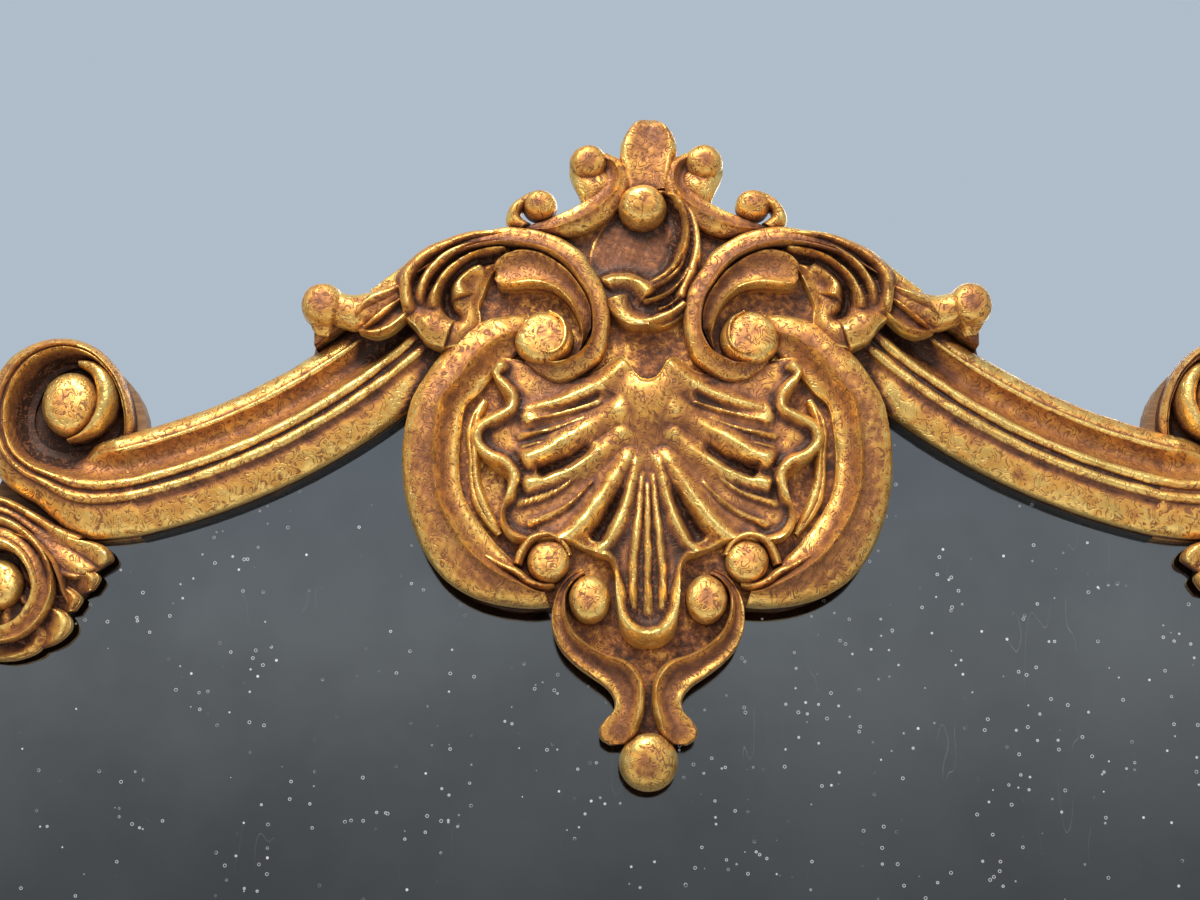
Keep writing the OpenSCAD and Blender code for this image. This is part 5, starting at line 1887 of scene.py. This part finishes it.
def solid_boxes(shown: bpy.types.Object) -> list[tuple[np.ndarray, np.ndarray]]:
    """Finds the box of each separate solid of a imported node.

    Args:
        shown: The node.

    Returns:
        The low and the high corner of each box, in metres.
    """
    mesh = shown.data
    mesh.calc_loop_triangles()
    points = np.array([v.co[:] for v in mesh.vertices])
    key = np.unique(np.round(points, 5), axis=0, return_inverse=True)[1].ravel()
    corners = key[np.array([t.vertices[:] for t in mesh.loop_triangles])]
    label = np.arange(key.max() + 1)
    while True:
        lowest = label[corners].min(axis=1)
        new = label.copy()
        for k in range(3):
            np.minimum.at(new, corners[:, k], lowest)
        if (new == label).all():
            break
        label = new
    mine = label[key]
    return [(points[mine == k].min(axis=0), points[mine == k].max(axis=0)) for k in np.unique(mine)]


@dataclass
class Screws:
    """Countersunk screws with slotted heads, seen from behind.

    shank_share is the shank's radius as a share of the head's, and point the radius of its tip.
    """

    steel: bpy.types.Material
    brass: bpy.types.Material
    slot_width: float = 0.9
    slot_depth: float = 0.8
    sides: int = 32
    seed: int = 5
    shank_share: float = 0.5
    point: float = 0.3

    def recipe(self) -> Recipe:
        """Makes the tree that puts a screw at every point, each slot turned its own way.

        Returns:
            The tree.
        """
        numbers = ("Head", "Shank", "Length", "Slot Width", "Slot Depth")
        tree = Recipe("slotted_screws", dict.fromkeys(numbers, "Float"))
        head, shank, length, wide, deep = (tree.given[name] for name in numbers)
        cone = tree.node("GeometryNodeMeshCone", {
            "Vertices": self.sides, "Radius Bottom": head, "Radius Top": shank,
            "Depth": tree.maths("SUBTRACT", head, shank)})
        size = tree.node("ShaderNodeCombineXYZ", {
            "X": tree.maths("MULTIPLY", head, 3.0), "Y": wide,
            "Z": tree.maths("MULTIPLY", deep, 2.0)})
        cutter = tree.node("GeometryNodeMeshCube", {"Size": size.outputs[0]})
        slotted = tree.node("GeometryNodeMeshBoolean", {
            0: cone.outputs["Mesh"], 1: cutter.outputs["Mesh"]}, operation="DIFFERENCE")
        rod = tree.node("GeometryNodeMeshCone", {
            "Vertices": self.sides, "Radius Bottom": shank, "Radius Top": self.point * MM,
            "Depth": length})
        joined = tree.node("GeometryNodeJoinGeometry", {"Geometry": rod.outputs["Mesh"]})
        tree.tree.links.new(slotted.outputs[0], joined.inputs[0])
        turn = tree.node("FunctionNodeRandomValue", {"Seed": self.seed, 3: math.pi}, data_type="FLOAT")
        way = tree.node("ShaderNodeCombineXYZ", {"X": math.pi / 2, "Y": turn.outputs[1]})
        spread = tree.node("GeometryNodeInstanceOnPoints", {
            "Points": tree.given["Geometry"], "Instance": joined.outputs[0],
            "Rotation": way.outputs[0]})
        return tree.end(spread.outputs[0])

    def build(self, nodes: dict[str, bpy.types.Object]) -> None:
        """Puts a screw in place of each packed one.

        Args:
            nodes: The frame's nodes.
        """
        tree = self.recipe()
        for node, finish in (("backboard_screws", self.steel), ("plate_screws", self.brass)):
            boxes = solid_boxes(nodes[node])
            low, high = boxes[0]
            head = (high[0] - low[0]) / 2
            points = [[(a[0] + b[0]) / 2, b[1], (a[2] + b[2]) / 2] for a, b in boxes]
            mesh = tree.run(points, [], {
                "Head": head, "Shank": head * self.shank_share, "Length": high[1] - low[1],
                "Slot Width": self.slot_width * MM, "Slot Depth": self.slot_depth * MM,
                "Finish": finish})
            mesh.name = f"{node}_slotted"
            place_piece(mesh.name, mesh, (node,))


def dress(nodes: dict[str, bpy.types.Object], finishes: dict[str, bpy.types.Material]) -> None:
    """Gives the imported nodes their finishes.

    Args:
        nodes: The frame's nodes.
        finishes: A material for each start of a node's name.
    """
    for name, node in nodes.items():
        for start, material in finishes.items():
            if name.startswith(start):
                node.data.materials.clear()
                node.data.materials.append(material)
                LOG.info("%s: %s", name, material.name)
                break


# ------------------------------------------------------------------ studio


@dataclass(frozen=True)
class Lamp:
    """A square soft lamp that looks at a point, in metres and watts."""

    name: str
    place: tuple[float, float, float]
    aim: tuple[float, float, float]
    size: float
    power: float
    colour: Colour

    def build(self) -> None:
        """Hangs the lamp."""
        light = bpy.data.lights.new(self.name, "AREA")
        light.size = self.size
        light.energy = self.power
        light.color = self.colour
        holder = bpy.data.objects.new(self.name, light)
        way = Vector(self.aim) - Vector(self.place)
        holder.location = self.place
        holder.rotation_euler = way.to_track_quat("-Z", "Y").to_euler()
        bpy.context.scene.collection.objects.link(holder)


@dataclass
class Studio:
    """The camera, the lamps, the pale floor and a glowing grey card, seen only in reflections, that
    paints a dim room's reflection in the glass and the gold.
    """

    pale: Colour = (0.43, 0.51, 0.595)
    warm: Colour = (1, 0.985, 0.96)
    ambient: float = 0.42
    eye: tuple[float, float, float] = (-0.036, -1.85, 0.8)
    tilt: float = 102.05
    lens: float = 71.85
    sensor: float = 36.0
    floor: float = 6.0
    reflection_card: float = 3.0
    card_place: float = -2.6
    card_span: tuple[float, float] = (0.1, 2.6)
    lamps: tuple[Lamp, ...] = (
        Lamp("top_lamp", (-0.4, -1.3, 2.6), (0, 0, 1.15), 1.0, 50, (1, 0.965, 0.91)),
        Lamp("front_lamp", (0.9, -2.6, 2.0), (0, 0, 1.0), 1.4, 12, (1, 0.97, 0.93)),
        Lamp("back_lamp", (0.7, 2.6, 2.2), (0, 0, 0.8), 1.6, 30, (1, 0.98, 0.95)),
    )

    def camera(self) -> None:
        """Sets up the photograph's view."""
        camera = bpy.data.cameras.new("camera")
        camera.lens = self.lens
        camera.sensor_width = self.sensor
        holder = bpy.data.objects.new("camera", camera)
        holder.location = self.eye
        holder.rotation_euler = (math.radians(self.tilt), 0, 0)
        bpy.context.scene.collection.objects.link(holder)
        bpy.context.scene.camera = holder

    def world(self) -> None:
        """Sets up a soft ambient light, and a pale background for camera, metal and glass."""
        world = bpy.data.worlds.new("studio")
        world.use_nodes = True
        tree = Tree(world.node_tree)
        path = tree.node("ShaderNodeLightPath").outputs
        seen = path["Is Camera Ray"]
        for name in ("Is Glossy Ray", "Is Transmission Ray"):
            either = tree.node("ShaderNodeMath", {0: seen, 1: path[name]}, operation="MAXIMUM")
            seen = either.outputs[0]
        soft = tree.node("ShaderNodeBackground", {"Color": self.warm, "Strength": self.ambient})
        back = tree.node("ShaderNodeBackground", {"Color": self.pale})
        choice = tree.node("ShaderNodeMixShader", {0: seen, 1: soft.outputs[0], 2: back.outputs[0]})
        tree.node("ShaderNodeOutputWorld", {0: choice.outputs[0]})
        bpy.context.scene.world = world

    def sheet(self, corners: Rows, material: bpy.types.Material) -> bpy.types.Object:
        """Stages a flat sheet that is called what its material is.

        Args:
            corners: Its corners, in metres.
            material: Its material.

        Returns:
            The sheet.
        """
        mesh = bpy.data.meshes.new(material.name)
        mesh.from_pydata(corners, [], [tuple(range(len(corners)))])
        mesh.materials.append(material)
        made = bpy.data.objects.new(material.name, mesh)
        bpy.context.scene.collection.objects.link(made)
        made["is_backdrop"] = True
        return made

    def build(self) -> None:
        """Sets up the studio."""
        self.camera()
        self.world()
        floor = Paint("floor")
        tone = floor.mix(floor.noise(900, 3), (0.80, 0.805, 0.81), (0.86, 0.862, 0.865))
        half = self.floor
        self.sheet([(-half, -half, 0), (half, -half, 0), (half, half, 0), (-half, half, 0)],
                   floor.finish(tone, 0.7, 0.0))
        # A glowing card, darker low down, seen only by reflections: a painted reflection in the glass
        # and the gold.
        reflection_card = Paint("reflection_card")
        parts = reflection_card.node("ShaderNodeSeparateXYZ", {0: reflection_card.place})
        height = Value(reflection_card, parts.outputs["Z"])
        tone = reflection_card.ramp((height - 0.6) * 0.5, (0.12, (0.27, 0.272, 0.275)),
                         (0.24, (0.36, 0.366, 0.37)), (0.40, (0.55, 0.565, 0.57)), (0.9, self.pale))
        glow = reflection_card.end(reflection_card.node("ShaderNodeEmission", {"Color": tone}))
        low, high = self.card_span
        across = (-self.reflection_card, self.reflection_card, self.reflection_card, -self.reflection_card)
        sheet = self.sheet([(x, self.card_place, z) for x, z in zip(across, (low, low, high, high))],
                           glow)
        sheet.visible_camera = False
        sheet.visible_diffuse = False
        sheet.visible_shadow = False
        for lamp in self.lamps:
            lamp.build()
        bpy.context.scene.view_settings.view_transform = "Standard"


def main() -> None:
    """Builds the mirror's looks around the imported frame."""
    logging.basicConfig(level=logging.INFO, format="%(message)s")
    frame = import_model()
    low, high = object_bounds()
    leaf = GoldLeaf("gold_leaf").build()
    # The ground behind the carving is a darker leaf: a toned ground, and painted shade of the recesses
    # that it lies in.
    ground = GoldLeaf("toned_and_shaded_ground", level=-0.22, carved=False).build()
    pine = OldWood("old_pine", (1.0, 1.0, 0.06)).build()
    board = OldWood("backboard", (1.0, 1.0, 0.05), (0.24, 0.145, 0.075), (0.10, 0.055, 0.028)).build()
    rail = OldWood("old_pine_rail", (0.06, 1.0, 1.0)).build()
    brass = OldMetal("brass", (0.62, 0.42, 0.15), (0.20, 0.125, 0.055)).build()
    steel = OldMetal("steel", (0.36, 0.34, 0.32), (0.12, 0.085, 0.06), 0.42).build()
    dress(frame["nodes"], {
        "stile_moulding": leaf, "stile": pine, "bottom_rail": rail, "top_rail": rail,
        "crest_board": rail, "crest_block": ground, "side_ground": ground,
        "corner_ground": ground, "foot_ground": ground, "dowels": pine, "glazing_blocks": pine,
        "slip": OldPaint("black_slip").build(), "mirror_glass": AgedSilver("old_silver").build(),
        "backboard_screws": steel, "backboard": board, "wall_plates": brass, "plate_screws": brass,
    })
    relief = ReliefMap([v / MM for v in low], [v / MM for v in high])
    mouldings = Mouldings(leaf)
    carvings = mouldings.build() + Corners(leaf, mouldings).build() + Crest(leaf).build()
    before = np.cumsum([0] + [len(carving.shells) for carving in carvings])
    skins = [carving.skin(number) for carving, number in zip(carvings, before)]
    for skin in skins:
        relief.cover(skin)
    for name, node in frame["nodes"].items():
        if "ground" in name or name.startswith(("crest_b", "slip", "mirror")):
            relief.cover_node(node)
    relief.settle()
    for carving, skin in zip(carvings, skins):
        carving.finish(skin, relief)
    Screws(steel, brass).build(frame["nodes"])
    Studio().build()


if __name__ == "__main__":
    main()
